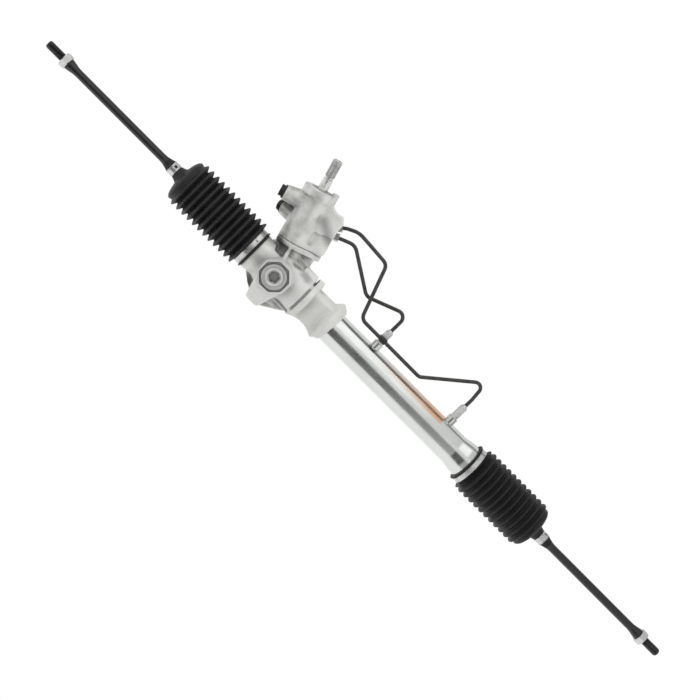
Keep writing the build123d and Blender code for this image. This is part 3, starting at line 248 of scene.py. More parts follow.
def spline_steel():
    """Bright turned steel with painted shade darkening its grooves."""
    made = Surface("spline_steel", (0.66, 0.66, 0.65), 1.0, 0.30)
    # painted shade in the spline grooves
    made.paint_recess_shade(made.mottle(150, 0.72, 1.1), (0.24, 0.24, 0.235), 0.0022, 0.45, 1)
    made.rough(420, 0.2, 0.42)
    made.bump(made.noise(520, 3), 0.00025, 0.6)
    return made.material


def black_rod():
    """Smooth black coating of the tie rods."""
    made = Surface("black_rod", (0.006, 0.006, 0.0065), 0.0, 0.24, 0.55)
    made.mottle(70, 0.7, 1.5)
    made.rough(50, 0.20, 0.32)
    made.bump(made.noise(420, 2), 0.00003, 0.3)
    return made.material


def dark_pipe():
    """Dull dark coating of the two transfer pipes."""
    made = Surface("dark_pipe", (0.048, 0.046, 0.045), 0.35, 0.34)
    made.mottle(110, 0.7, 1.35)
    made.rough(140, 0.30, 0.48)
    made.bump(made.noise(900, 2), 0.00005, 0.4)
    return made.material


def boot_rubber():
    """Matt black rubber, with painted shade darkening it towards the far end of the rack."""
    made = Surface("boot_rubber", (0.012, 0.012, 0.013), 0.0, 0.50, 0.34)
    near = made.mottle(45, 0.75, 1.6)
    # painted shade: the rubber goes darker towards the far end of the rack
    made.paint(made.mix(made.over("X", 0, 1, -0.05, 0.27), near, (0.003, 0.003, 0.0032)))
    made.rough(70, 0.42, 0.62)
    made.bump(made.noise(1300, 3), 0.00008, 0.5)
    return made.material


def moulded(name, colour, roughness):
    """Rubber or plastic as it leaves its mould."""
    made = Surface(name, colour, 0.0, roughness, 0.4)
    made.mottle(130, 0.8, 1.25)
    made.rough(180, roughness * 0.85, min(1, roughness * 1.2))
    made.bump(made.noise(1400, 2), 0.00005, 0.5)
    return made.material


materials = {
    "cast_aluminium": cast_aluminium(),
    "machined_aluminium": machined_aluminium(),
    "bright_tube": bright_tube(),
    "bar_steel": plain_metal("bar_steel", (0.66, 0.66, 0.65), 0.30),
    "spline_steel": spline_steel(),
    "bearing_steel": plain_metal("bearing_steel", (0.60, 0.60, 0.60), 0.22),
    "forged_steel": plain_metal("forged_steel", (0.26, 0.26, 0.26), 0.45),
    "spring_steel": plain_metal("spring_steel", (0.36, 0.36, 0.37), 0.35),
    "zinc_steel": plain_metal("zinc_steel", (0.56, 0.565, 0.555), 0.33),
    "black_rod": black_rod(),
    "dark_pipe": dark_pipe(),
    "boot_rubber": boot_rubber(),
    "seal_rubber": moulded("seal_rubber", (0.02, 0.02, 0.02), 0.6),
    "dusty_rubber": moulded("dusty_rubber", (0.36, 0.36, 0.345), 0.7),
    "black_plastic": moulded("black_plastic", (0.016, 0.016, 0.017), 0.42),
    "liner_plastic": moulded("liner_plastic", (0.72, 0.69, 0.60), 0.45),
    "ring_plastic": moulded("ring_plastic", (0.16, 0.10, 0.07), 0.5),
    "bush_bronze": plain_metal("bush_bronze", (0.55, 0.40, 0.20), 0.4),
}
# every node takes its slot's material; the dust cover is paler than the other seals
for subpart in frame["record"]["subparts"]:
    node = frame["nodes"][subpart["node"]]
    node.data.materials.clear()
    node.data.materials.append(materials[subpart["material_slot"]])
frame["nodes"]["dust_cover"].data.materials[0] = materials["dusty_rubber"]


# ------------------------------------------------------------------ mesh helpers
def along_rack(x, side=1):
    """Matrix whose Z runs outwards along the rack from a station on its axis."""
    return Matrix.Translation((x, 0, 0)) @ Matrix.Rotation(side * pi / 2, 4, "Y")


def along_tower():
    """Matrix whose Z runs up the pinion's axis from the height of the rack."""
    return Matrix.Translation(tower_foot) @ Matrix.Rotation(-radians(tower_lean), 4, "Y")


def as_piece(name, mesh, body, slot, smooth_angle=35):
    """Links a mesh as a piece that rides on a body and takes a slot's material."""
    piece = bpy.data.objects.new(name, mesh)
    bpy.context.scene.collection.objects.link(piece)
    mesh.materials.clear()
    mesh.materials.append(materials[slot])
    mesh.shade_smooth()
    mesh.set_sharp_from_angle(angle=radians(smooth_angle))
    if body:
        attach(piece, body)
    return piece


def in_metres(rows):
    """Rows of (height, radius) in metres from rows in millimetres; a radius may be a function of the angle."""

    def scaled(radius):
        return (lambda angle: radius(angle) * millimetre) if callable(radius) else radius * millimetre

    return [(height * millimetre, scaled(radius)) for height, radius in rows]


def mesh_from(made, name):
    """Mesh from a bmesh, with its faces turned outwards."""
    bmesh.ops.recalc_face_normals(made, faces=made.faces)
    mesh = bpy.data.meshes.new(name)
    made.to_mesh(mesh)
    made.free()
    return mesh


def lathe(name, rows, place, segments, closed=False):
    """Mesh turned about the local Z. Each row is (height, radius), and a radius may be a function of the angle."""
    made = bmesh.new()
    rings = []
    angles = [2 * pi * number / segments for number in range(segments)]
    for height, radius in rows:
        if not callable(radius) and radius == 0:
            rings.append([made.verts.new(place @ Vector((0, 0, height)))])
            continue
        reaches = [radius(angle) if callable(radius) else radius for angle in angles]
        points = [Vector((reach * cos(turn), reach * sin(turn), height)) for turn, reach in zip(angles, reaches)]
        rings.append([made.verts.new(place @ point) for point in points])
    pairs = list(zip(rings, rings[1:]))
    if closed:
        pairs.append((rings[-1], rings[0]))
    for low, high in pairs:
        for number in range(segments):
            after = (number + 1) % segments
            if len(low) == 1:
                made.faces.new((low[0], high[after], high[number]))
            elif len(high) == 1:
                made.faces.new((low[number], low[after], high[0]))
            else:
                made.faces.new((low[number], low[after], high[after], high[number]))
    return mesh_from(made, name)


# ------------------------------------------------------------------ boots (distances outwards from the lip)
boot_wall = 1.5
boot_seat_radius = 25.05
boot_lip_radius = 29.75
boot_band_seat = 27.4
boot_lip_width = 2.2
boot_band_width = 7.0
boot_pitch = 9.65
boot_crest_radius = 35.1
boot_dome_length = 21.4
boot_shallow_radius = 30.4
first_slope_radius = 31.8
fold_steps = 14
waist_steps = 6
cuff_distance = 43.0
cuff_radius = 8.5
cuff_bore = 6.45
cuff_tail = 8.0
small_band_width = 11.4
boot_segments = 72
# (distance, radius) points from the dome's rim inwards, ahead of the cuff's seat, and beyond it
dome_points = ((0, 31.6), (1.6, 30.9), (3.8, 28.6), (5.6, 24.4), (6.9, 19.6), (7.7, 15.4), (8.3, 12.8))
neck_points = ((-5.8, 11.3), (-2.8, 10.2), (-0.6, 9.6), (0, 9.2))
tail_points = ((0, 8.75), (0.9, 8.65), (2.4, 8.0), (4.4, 7.4), (6.4, 6.95), (cuff_tail, 6.7), (cuff_tail, 6.5))
# the cuff swings from a little before the ball to a little beyond it, and no cut lies near an end of the folds
swing_start = 5.5
swing_end = 10.5
cut_margin = 4.0
boot_specs = (
    # side, name, lip, ball, lip width, first crest, crests, root radius, roundness
    (-1, "left", -111.3, 1000 * ball_left_x, 4.1, 13.6, 12, 28.4, 0.72),
    (1, "right", 289.0, 1000 * ball_right_x, 6.4, 22.0, 11, 31.0, 0.85),
)


def fold_radius(distance, first_crest, root, roundness):
    """Outer radius of the folds at a distance from the lip."""
    phase = (distance - first_crest) / boot_pitch
    share = (0.5 + 0.5 * cos(2 * pi * phase)) ** roundness
    return root + (boot_crest_radius - root) * share


def eased(share):
    """A share from 0 to 1 with a soft start and end."""
    return share * share * (3 - 2 * share)


def boot_outline(lip_width, first_crest, crests, root, roundness, cuff):
    """Outer (distance, radius) points of a boot from its lip to the end of its small cuff."""
    # rolled lip and the seat of the large band
    band_end = lip_width + boot_band_width
    points = [(0, boot_lip_radius - 0.7), (0.25, boot_lip_radius - 0.2), (0.7, boot_lip_radius)]
    points += [(boot_lip_width - 0.7, boot_lip_radius), (boot_lip_width, boot_lip_radius - 0.6)]
    points += [(boot_lip_width + 0.4, boot_band_seat), (band_end, boot_band_seat)]
    # folds
    first = ceil((band_end + 0.8 - first_crest) / boot_pitch * fold_steps)
    last = (crests - 1) * fold_steps
    for step in range(first, last + 1):
        distance = first_crest + step * boot_pitch / fold_steps
        radius = fold_radius(distance, first_crest, root, roundness)
        if distance < first_crest - boot_pitch / 2:
            radius = max(radius, first_slope_radius)
        points.append((distance, radius))
    # from the last crest down to the waist
    shoulder = first_crest + (crests - 1) * boot_pitch
    dome = cuff - boot_dome_length
    waist = (shoulder + dome) / 2
    for step in range(1, waist_steps + 1):
        share = step / waist_steps
        distance = shoulder + (waist - shoulder) * share
        points.append((distance, boot_crest_radius + (boot_shallow_radius - boot_crest_radius) * eased(share)))
    points.append(((waist + dome) / 2, boot_shallow_radius + 0.5))
    # dome, neck, seat of the small clip and the cuff's tail
    start, end = cuff - small_band_width / 2, cuff + small_band_width / 2
    points += [(dome + ahead, radius) for ahead, radius in dome_points]
    points += [(start + ahead, radius) for ahead, radius in neck_points]
    points += [(start, cuff_radius), (end, cuff_radius)]
    points += [(end + ahead, radius) for ahead, radius in tail_points]
    return points


def boot_inside(radius):
    """Inner radius under an outer one: the wall is thicker at the small cuff."""
    return max(cuff_bore, radius - boot_wall)


def make_boot(side, name, lip_x, ball_x, lip_width, first_crest, crests, root, roundness):
    """Boot cut at its valleys into separate pieces."""
    ball = side * (ball_x - lip_x)
    cuff = ball + cuff_distance
    outline = boot_outline(lip_width, first_crest, crests, root, roundness, cuff)
    place = along_rack(lip_x * millimetre, side)
    folds_start, folds_end = lip_width + boot_band_width, ball - swing_start
    bend_end, neck_end = ball + swing_end, cuff - small_band_width / 2 - 3
    beyond = outline[-1][0] + 1
    valleys = [first_crest + (number + 0.5) * boot_pitch for number in range(crests - 1)]
    cuts = [valley for valley in valleys if folds_start + cut_margin < valley < folds_end - cut_margin]
    cuts = [folds_start, *cuts, folds_end, bend_end, beyond]

    def radius_at(distance):
        for (x0, r0), (x1, r1) in zip(outline, outline[1:]):
            if x0 <= distance <= x1 and x1 > x0:
                return r0 + (r1 - r0) * (distance - x0) / (x1 - x0)
        return outline[-1][1]

    def part(label, low, high):
        outer = [(x, r) for x, r in outline if low < x < high]
        if low > 0:
            outer.insert(0, (low, radius_at(low)))
        if high < outline[-1][0]:
            outer.append((high, radius_at(high)))
        inner = [(x, boot_inside(r) if x > folds_start else boot_seat_radius) for x, r in outer]
        mesh = lathe(label, in_metres(outer + inner[::-1]), place, boot_segments, closed=True)
        return as_piece(label, mesh, None, "boot_rubber", 50)

    lip = part(f"boot_{name}_lip", -1, cuts[0])
    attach(lip, "housing")
    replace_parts(lip, f"boot_{name}")
    for number, (low, high) in enumerate(zip(cuts, cuts[1:])):
        label = f"boot_{name}_fold_{number + 1}"
        piece = part(label, low, high)
        if high <= folds_end:
            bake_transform(piece)
        elif high <= bend_end:
            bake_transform(piece)
        else:
            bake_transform(piece)
        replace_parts(piece, f"boot_{name}")


# ------------------------------------------------------------------ clamps
# radius under a strap, and its thickness
band_strap = (27.45, 0.9)
clip_strap = (8.55, 0.8)
strap_bead = 0.35
strap_segments = 96
# a strap's slot and the tongue beside it: lengths round the strap, shares of its width, and heights above it
tongue_gap, tongue_length, tongue_share, tongue_lift = 2.2, 4.2, 0.26, 0.75
slot_share, slot_lift = 0.22, 0.25
lap_sink = 0.1
clip_left_x = 1000 * ball_left_x - cuff_distance
clip_right_x = 1000 * ball_right_x + cuff_distance
clamp_specs = (
    # name, node, body, side, middle, width, strap, slot length, angles of its slots in degrees
    ("band_left", "boot_band_left", "housing", -1, -118.1, 7.6, band_strap, 2.0, (258, 300)),
    ("band_right", "boot_band_right", "housing", 1, 295.7, 7.4, band_strap, 2.0, (195,)),
    ("clip_left", "cuff_clip_left", "rod_left", -1, clip_left_x, 10.0, clip_strap, 3.2, (304,)),
    ("clip_right", "cuff_clip_right", "rod_right", 1, clip_right_x, 10.0, clip_strap, 2.4, (212,)),
)


def clamp_ring(name, side, middle, width, under, thickness):
    """Steel strap with rolled edges, wound once round its seat."""
    half, top = width / 2, under + thickness
    crown = top + strap_bead
    rows = [(-half, under), (-half, top), (-half + 0.3, crown), (-half + 0.9, crown), (-half + 1.3, top)]
    rows += [(half - 1.3, top), (half - 0.9, crown), (half - 0.3, crown), (half, top), (half, under)]
    return lathe(name, in_metres(rows), along_rack(middle * millimetre, side), strap_segments, closed=True)


def curved_block(made, place, angle, spread, low, high, inner, outer):
    """Adds a closed block that follows a ring, between two heights, two radii and a spread of angle."""
    steps = 6
    rings = []
    for number in range(steps + 1):
        turn = radians(angle - spread / 2 + spread * number / steps)
        corners = ((inner, low), (outer, low), (outer, high), (inner, high))
        points = [Vector((radius * cos(turn), radius * sin(turn), height)) for radius, height in corners]
        rings.append([made.verts.new(place @ (point * millimetre)) for point in points])
    for before, after in zip(rings, rings[1:]):
        for number in range(4):
            beside = (number + 1) % 4
            made.faces.new((before[number], before[beside], after[beside], after[number]))
    made.faces.new(rings[0][::-1])
    made.faces.new(rings[-1])


def make_clamp(name, node, body, side, middle, width, strap, slot_length, slots):
    """Strap, the tongue of its lap and dark blocks for the slots that its hooks sit in."""
    under, thickness = strap
    ring = clamp_ring(name, side, middle, width, under, thickness)
    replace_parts(as_piece(f"{name}_strap", ring, body, "zinc_steel", 40), node)
    place = along_rack(middle * millimetre, side)
    top = under + thickness
    arc = 180 / (pi * under)  # degrees to the millimetre round the strap
    # each slot is a dark block laid on the strap: on the bands its dark steel is painted shade of the opening, on
    # the clips it is the near-black rubber beneath
    dark = "forged_steel" if body == "housing" else "seal_rubber"
    for number, angle in enumerate(slots):
        for label, slot, shift, spread, half, lift in (
            ("tongue", "zinc_steel", tongue_gap + slot_length / 2, tongue_length, width * tongue_share, tongue_lift),
            ("slot", dark, 0.0, slot_length, width * slot_share, slot_lift),
        ):
            made = bmesh.new()
            turn = angle + shift * arc
            curved_block(made, place, turn, spread * arc, -half, half, top - lap_sink, top + lift)
            mesh = mesh_from(made, f"{name}_{label}_{number}")
            as_piece(f"{name}_{label}_{number + 1}", mesh, body, slot)


# ------------------------------------------------------------------ cylinder tube
tube_start, tube_end = 17.0, 308.0
tube_radius = 22.4
tube_wall = 2.9
flare_start, flare_end = 263.2, 283.0
flare_radius = 25.0
flare_steps = 16
tube_segments = 160


def make_tube():
    """Drawn tube with the smooth flare that the outer boot sits on."""
    bore, flare_bore = tube_radius - tube_wall, flare_radius - tube_wall
    rows = [(tube_start, bore), (tube_start, tube_radius - 1), (tube_start + 1, tube_radius)]
    rows.append((flare_start, tube_radius))
    for step in range(1, flare_steps + 1):
        share = step / flare_steps
        rise = (flare_radius - tube_radius) * eased(share)
        rows.append((flare_start + (flare_end - flare_start) * share, tube_radius + rise))
    rows += [(tube_end - 0.4, flare_radius), (tube_end, flare_radius - 0.4), (tube_end, flare_bore)]
    rows += [(flare_end, flare_bore), (flare_start, bore)]
    mesh = lathe("tube", in_metres(rows), along_rack(0), tube_segments, closed=True)
    tube = as_piece("cylinder_tube_drawn", mesh, "housing", "bright_tube")
    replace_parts(tube, "cylinder_tube")


# ------------------------------------------------------------------ yoke plug
# heights from the rack's axis, out towards the plug's face
plug_inner_face = 36.0
plug_face = 47.0
plug_radius = 17.0
plug_ring_floor = 45.4
plug_ring_outer = 11.8
plug_ring_inner = 8.9
socket_floor = 40.2
socket_across = 14.0
lock_ring_low = 42.3
lock_ring_face = 43.5
lock_ring_across = 37.6
plug_segments = 96


def polygon(sides, across):
    """Radius in millimetres of a regular polygon at each angle, from its size across flats."""
    half = pi / sides
    return lambda angle: across / 2 / cos((angle + half) % (2 * half) - half)


def make_yoke_plug():
    """Plug with an octagonal lock ring, a ringed face and a hexagon socket; its axis is -Y at the yoke."""
    lock_ring = polygon(8, lock_ring_across)
    mouth, socket = polygon(6, socket_across), polygon(6, socket_across - 0.5)
    rows = [(plug_inner_face, 0), (plug_inner_face, plug_radius - 0.6), (plug_inner_face + 0.6, plug_radius)]
    rows += [(lock_ring_low, plug_radius), (lock_ring_low, lock_ring)]
    rows += [(lock_ring_face, lock_ring), (lock_ring_face, plug_radius)]
    rows += [(plug_face - 0.9, plug_radius), (plug_face - 0.25, plug_radius - 0.3), (plug_face, plug_radius - 0.9)]
    rows += [(plug_face, plug_ring_outer), (plug_face - 0.3, plug_ring_outer - 0.5)]
    rows += [(plug_ring_floor + 0.3, plug_ring_inner + 0.6), (plug_ring_floor, plug_ring_inner + 0.2)]
    rows += [(plug_ring_floor, plug_ring_inner), (plug_ring_floor, mouth), (plug_ring_floor - 0.5, socket)]
    rows += [(socket_floor, socket), (socket_floor, 0)]
    place = Matrix.Translation((yoke_x, 0, 0)) @ Matrix.Rotation(radians(90), 4, "X")
    mesh = lathe("yoke_plug_face", in_metres(rows), place, plug_segments)
    plug = as_piece("yoke_plug_face", mesh, "housing", "machined_aluminium", 30)
    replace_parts(plug, "yoke_plug")


# ------------------------------------------------------------------ transfer pipes
pipe_radius = 2.6
pipe_hidden_length = 8.0
pipe_straight_length = 12.0
pipe_specs = (
    # name, its port on the tower (distance across, height, rise in degrees), corners (x, y, z, radius of the bend)
    (
        "long",
        (42.5, 89.5, 22),
        (
            (-30, 14.8, 113.0, 30),
            (24.5, 1.8, 110.8, 11),
            (51.6, -10, 37.5, 11),
            (160.5, -10, 37.5, 9),
            (230.0, -0.5, 94.0, 8),
            (233.4, 0, 64, 20),
            (233.4, 0, 27, 0),
        ),
    ),
    (
        "short",
        (44, 76.5, 8),
        (
            (-22, 14.4, 97.5, 15),
            (36.3, 6, 61.0, 13),
            (91.6, 0.2, 83.6, 9),
            (92, 0, 62, 20),
            (92, 0, 27, 0),
        ),
    ),
)


def bent_route(corners):
    """Points along straight runs between (point, radius) corners, each rounded to an arc of its radius."""
    route = [corners[0][0]]
    for (before, _), (here, radius), (after, _) in zip(corners, corners[1:], corners[2:]):
        back, ahead = (before - here).normalized(), (after - here).normalized()
        half = back.angle(ahead) / 2
        reach = radius / tan(half)
        centre = here + (back + ahead).normalized() * radius / sin(half)
        start, end = here + back * reach - centre, here + ahead * reach - centre
        sweep = start.angle(end)
        steps = max(4, ceil(sweep / radians(6)))
        for step in range(steps + 1):
            turn = sweep * step / steps
            point = (start * sin(sweep - turn) + end * sin(turn)) / sin(sweep)
            route.append(centre + point)
    return route + [corners[-1][0]]


def make_pipe(name, port, corners):
    """Steel pipe from inside its port on the tower, round its bends and down into its union on the tube."""
    across, height, rise = port
    tower = along_tower()
    mouth = tower @ (Vector((across, 0, height)) * millimetre)
    ahead = (tower.to_3x3() @ Vector((cos(radians(rise)), 0, sin(radians(rise))))).normalized()
    hidden, straight = pipe_hidden_length * millimetre, pipe_straight_length * millimetre
    points = [(mouth - hidden * ahead, 0), (mouth + straight * ahead, straight)]
    points += [(Vector(corner[:3]) * millimetre, corner[3] * millimetre) for corner in corners]
    line = bpy.data.curves.new(f"pipe_{name}", "CURVE")
    line.dimensions = "3D"
    line.bevel_depth = pipe_radius * millimetre
    line.bevel_resolution = 5
    line.use_fill_caps = True
    route = bent_route(points)
    spline = line.splines.new("POLY")
    spline.points.add(len(route) - 1)
    for point, spot in zip(spline.points, route):
        point.co = (*spot, 1)
    drawn = bpy.data.objects.new(f"pipe_{name}_line", line)
    bpy.context.scene.collection.objects.link(drawn)
    mesh = bpy.data.meshes.new_from_object(drawn)
    bpy.data.objects.remove(drawn)
    pipe = as_piece(f"pipe_{name}", mesh, "housing", "dark_pipe", 60)
    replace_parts(pipe, f"{name}_transfer_pipe")


# ------------------------------------------------------------------ tie rods (distances outwards from the ball)
ball_radius = 11.9
ball_steps = 14
neck_radius = 6.0
rod_radius = 5.6
cuff_seat_radius = 6.35
flare_tip_radius = 8.0
rod_shoulder = 234.3
rod_end = 270.9
thread_radius = 6.0
thread_depth = 0.75
thread_pitch = 1.5
thread_rows_per_turn = 6
thread_lead_in = 1.4
thread_fade = 0.9
relief_radius = 5.3
rod_segments = 48


def thread_rows(start, end):
    """Rows of a screw thread: the crest winds round, one pitch forward for each turn, and fades at the end."""
    rows = []
    count = ceil((end - start) / thread_pitch * thread_rows_per_turn)
    for number in range(count + 1):
        height = start + (end - start) * number / count
        fade = min(1, (end - height) / thread_lead_in)

        def reach(angle, height=height, fade=fade):
            phase = (height / thread_pitch - angle / (2 * pi)) % 1
            groove = 1 - abs(2 * phase - 1)
            return thread_radius - thread_depth * groove - thread_fade * (1 - fade)

        rows.append((height, reach))
    return rows


def make_rod(side, name, ball_x):
    """Ball, neck, cuff seat, slim shank, flare behind the jam nut, and the thread with the nut's relief in it."""
    neck = sqrt(ball_radius**2 - neck_radius**2)
    sweep = pi - asin(neck_radius / ball_radius)
    turns = [sweep * step / ball_steps for step in range(1, ball_steps)]
    rows = [(-ball_radius, 0)] + [(-ball_radius * cos(turn), ball_radius * sin(turn)) for turn in turns]
    rows += [(neck, neck_radius), (14, neck_radius), (18, rod_radius), (34.3, rod_radius)]
    rows += [(35.3, cuff_seat_radius), (57.0, cuff_seat_radius), (59, 6.1), (62, 5.75), (65, rod_radius)]
    rows += [(217.3, rod_radius), (222, 6.0), (228, 7.2), (231.5, 7.85), (233.6, flare_tip_radius)]
    rows += [(rod_shoulder, flare_tip_radius - 0.4), (rod_shoulder, thread_radius + 0.05)]
    rows += thread_rows(234.5, 244.2)
    rows += [(244.4, relief_radius), (245.3, relief_radius)]
    rows += thread_rows(245.5, 270.4)
    rows += [(rod_end, 4.6), (rod_end, 0)]
    mesh = lathe(f"rod_{name}", in_metres(rows), along_rack(ball_x, side), rod_segments)
    rod = as_piece(f"rod_{name}_turned", mesh, f"rod_{name}", "black_rod")
    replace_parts(rod, f"tie_rod_{name}")


# ------------------------------------------------------------------ input shaft (heights up the pinion's axis)
shaft_low, shaft_top = 58, 167
valve_land_radius = 9.9
seal_land_radius = 7.75
spline_radius = 6.75
spline_depth = 0.7
spline_count = 24
spline_steepness = 1.6
pinch_groove_radius = 5.9
end_recess_radius = 4.6
end_recess_depth = 3
shaft_segments = 10 * spline_count


def spline(depth):
    """Radius at each angle of a ring of flat-bottomed grooves."""

    def reach(angle):
        phase = (angle * spline_count / (2 * pi)) % 1
        return spline_radius - depth * min(1, spline_steepness * (1 - abs(2 * phase - 1)))

    return reach


def make_splined_shaft():
    """Input shaft with its splines, pinch groove and chamfered end."""
    rows = [(shaft_low, 0), (shaft_low, valve_land_radius), (101, valve_land_radius), (103, seal_land_radius)]
    rows += [(120.6, seal_land_radius), (122.6, spline_radius), (138.6, spline_radius)]
    rows += [(139.4, pinch_groove_radius), (142.6, pinch_groove_radius)]
    rows += [(143.2, spline(0.0)), (143.8, spline(spline_depth)), (165.4, spline(spline_depth)), (166.4, 5.75)]
    rows += [(shaft_top, 5.3), (shaft_top, end_recess_radius)]
    rows += [(shaft_top - end_recess_depth, end_recess_radius), (shaft_top - end_recess_depth, 0)]
    mesh = lathe("input_splined", in_metres(rows), along_tower(), shaft_segments)
    shaft = as_piece("input_splined", mesh, "input", "bar_steel", 30)
    shaft.data.materials[0] = materials["spline_steel"]
    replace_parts(shaft, "input_shaft")


# ------------------------------------------------------------------ castings (metres)
cast_voxel = 0.0009
cast_rounding = 9
cast_waviness = 0.00012
wave_per_metre = 150
ripple_per_metre = 420
cast_hollows = (
    # from, to, radius, depth, share of painted shade in it
    ((-0.0990, 0.0040, 0.0285), (-0.0790, -0.0040, 0.0285), 0.0115, 0.0022, 0.8),
    ((-0.0600, -0.0115, 0.0262), (-0.0530, -0.0090, 0.0265), 0.0085, 0.0016, 0.75),
    ((-0.0430, -0.0150, 0.0262), (-0.0360, -0.0160, 0.0240), 0.0100, 0.0012, 0.42),
    ((-0.0430, -0.0140, -0.0250), (-0.0290, -0.0120, -0.0262), 0.0115, 0.0024, 1.0),
    ((-0.0960, -0.0040, -0.0262), (-0.0850, 0.0060, -0.0365), 0.0110, 0.0020, 0.8),
    ((-0.0745, 0.0008, 0.0910), (-0.0500, 0.0030, 0.0760), 0.0120, 0.0024, 0.45),
    ((-0.1270, 0.0200, 0.0720), (-0.1170, 0.0140, 0.0720), 0.0100, 0.0016, 0.8),
)


def near_hollow(spot, start, end, radius):
    """1 on the line of a hollow and 0 from its radius outwards, with a smooth slope between."""
    start, end = Vector(start), Vector(end)
    run = end - start
    share = min(1, max(0, (spot - start).dot(run) / run.length_squared))
    return eased(max(0, 1 - (spot - start - share * run).length / radius))


def make_casting(node):
    """A casting with the rounded edges, soft corners and slightly wavy skin that the sand leaves."""
    source = frame["nodes"][node]
    blank = bpy.data.objects.new(f"{node}_blank", source.data.copy())
    blank.matrix_world = source.matrix_world
    bpy.context.scene.collection.objects.link(blank)
    grid = blank.modifiers.new("grid", "REMESH")
    grid.mode = "VOXEL"
    grid.voxel_size = cast_voxel
    soften = blank.modifiers.new("soften", "SMOOTH")
    soften.factor = 0.5
    soften.iterations = cast_rounding
    shapes = bpy.context.evaluated_depsgraph_get()
    mesh = bpy.data.meshes.new_from_object(blank.evaluated_get(shapes))
    mesh.transform(source.matrix_world)
    bpy.data.objects.remove(blank)
    normals = [vertex.normal.copy() for vertex in mesh.vertices]
    # painted shade: the share of each hollow's dark tone is kept on the mesh
    hollow_shade = mesh.attributes.new("hollow_shade", "FLOAT", "POINT")
    for vertex, normal in zip(mesh.vertices, normals):
        wave = noise.noise(vertex.co * wave_per_metre) + 0.5 * noise.noise(vertex.co * ripple_per_metre)
        sink, shade_here = 0, 0
        for start, end, radius, depth, shade_share in cast_hollows:
            ease = near_hollow(vertex.co, start, end, radius)
            sink += ease * depth
            shade_here = max(shade_here, ease * shade_share)
        hollow_shade.data[vertex.index].value = shade_here
        vertex.co += normal * (wave * cast_waviness - sink)
    piece = as_piece(f"{node}_cast", mesh, "housing", "cast_aluminium", 180)
    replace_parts(piece, node)


for casting in ("pinion_housing", "valve_housing"):
    make_casting(casting)
for spec in boot_specs:
    make_boot(*spec)
for side, name, ball_x in ((-1, "left", ball_left_x), (1, "right", ball_right_x)):
    make_rod(side, name, ball_x)
for spec in clamp_specs:
    make_clamp(*spec)
make_tube()
make_yoke_plug()
for spec in pipe_specs:
    make_pipe(*spec)
make_splined_shaft()


# ------------------------------------------------------------------ camera
def set_camera():
    """Camera that looks down on the gear, rolled so that the rack runs across the picture at its tilt."""
    heading, drop = radians(camera_heading), radians(camera_drop)
    right = Vector((cos(heading), -sin(heading), 0))
    forward = Vector((sin(heading) * cos(drop), cos(heading) * cos(drop), -sin(drop)))
    up = right.cross(forward)
    rack_in_view = atan2(up.x, right.x)
    along = right * cos(rack_in_view) + up * sin(rack_in_view)
    across = up * cos(rack_in_view) - right * sin(rack_in_view)
    tilt = radians(rack_tilt_in_view)
    image_right = along * cos(tilt) + across * sin(tilt)
    image_up = across * cos(tilt) - along * sin(tilt)
    target = Vector(sight_point) + metres_per_px * (sight_right_px * image_right + sight_up_px * image_up)
    camera = bpy.data.objects.new("camera", bpy.data.cameras.new("camera"))
    bpy.context.scene.collection.objects.link(camera)
    camera.matrix_world = Matrix.Translation(target - camera_distance * forward) @ Matrix(
        (
            (image_right.x, image_up.x, -forward.x, 0),
            (image_right.y, image_up.y, -forward.y, 0),
            (image_right.z, image_up.z, -forward.z, 0),
            (0, 0, 0, 1),
        )
    )
    camera.data.sensor_fit = "HORIZONTAL"
    camera.data.lens = camera.data.sensor_width * camera_distance / (photo_width_px * metres_per_px)
    camera.data.clip_end = 20
    bpy.context.scene.camera = camera


# ------------------------------------------------------------------ studio
world_level = 1.0
floor_white = 0.8
floor_lift = 0.50
floor_size = (5.0, 1.7)
floor_middle = (0.1, 0.49, -0.32)
# levels of a card: (X, level) pairs along it
even_levels = ((-1, 0.35), (1, 0.35))
front_levels = (
    (-0.9, 0.8),
    (-0.5, 0.10),
    (0.2, 0.06),
    (0.33, 0.08),
    (0.435, 0.13),
    (0.555, 0.23),
    (0.676, 0.42),
    (0.8, 0.6),
    (1.3, 0.9),
)
key_levels = (
    (-1.5, 0.8),
    (-0.7, 1.0),
    (-0.1, 1.4),
    (0.15, 1.6),
    (0.3, 1.5),
    (0.4, 1.34),
    (0.49, 1.0),
    (0.57, 0.65),
    (1.6, 0.75),
)
cards = (
    # name, middle, turn about X, (width, height), levels
    ("front_card", (0.0, -2.8, -0.95), 90, (6.0, 3.1), front_levels),
    ("rear_card", (0.0, 3.2, 0.1), 90, (6.0, 1.1), even_levels),
    ("top_card", (0.0, 0.75, 1.75), 25, (6.0, 1.0), even_levels),
)
key_spot = (0.05, -0.72, 1.50)
key_target = (0.05, 0, 0)
key_size = (3.6, 1.75)


def stage_sheet(name, width, depth, place, material):
    """A plain sheet of the studio, square to its own Z."""
    mesh = bpy.data.meshes.new(name)
    corners = [(across * width / 2, along * depth / 2, 0) for across, along in ((-1, -1), (1, -1), (1, 1), (-1, 1))]
    mesh.from_pydata([place @ Vector(corner) for corner in corners], [], [(0, 1, 2, 3)])
    mesh.materials.append(material)
    sheet = bpy.data.objects.new(name, mesh)
    bpy.context.scene.collection.objects.link(sheet)
    return sheet


def seen_rays(tree):
    """1 for what the camera, a mirror or a glass sees, and 0 for the light that falls on the object."""
    rays = tree.nodes.new("ShaderNodeLightPath")
    total = rays.outputs["Is Camera Ray"]
    for kind in ("Is Glossy Ray", "Is Transmission Ray"):
        either = tree.nodes.new("ShaderNodeMath")
        either.operation = "MAXIMUM"
        tree.links.new(total, either.inputs[0])
        tree.links.new(rays.outputs[kind], either.inputs[1])
        total = either.outputs["Value"]
    return total


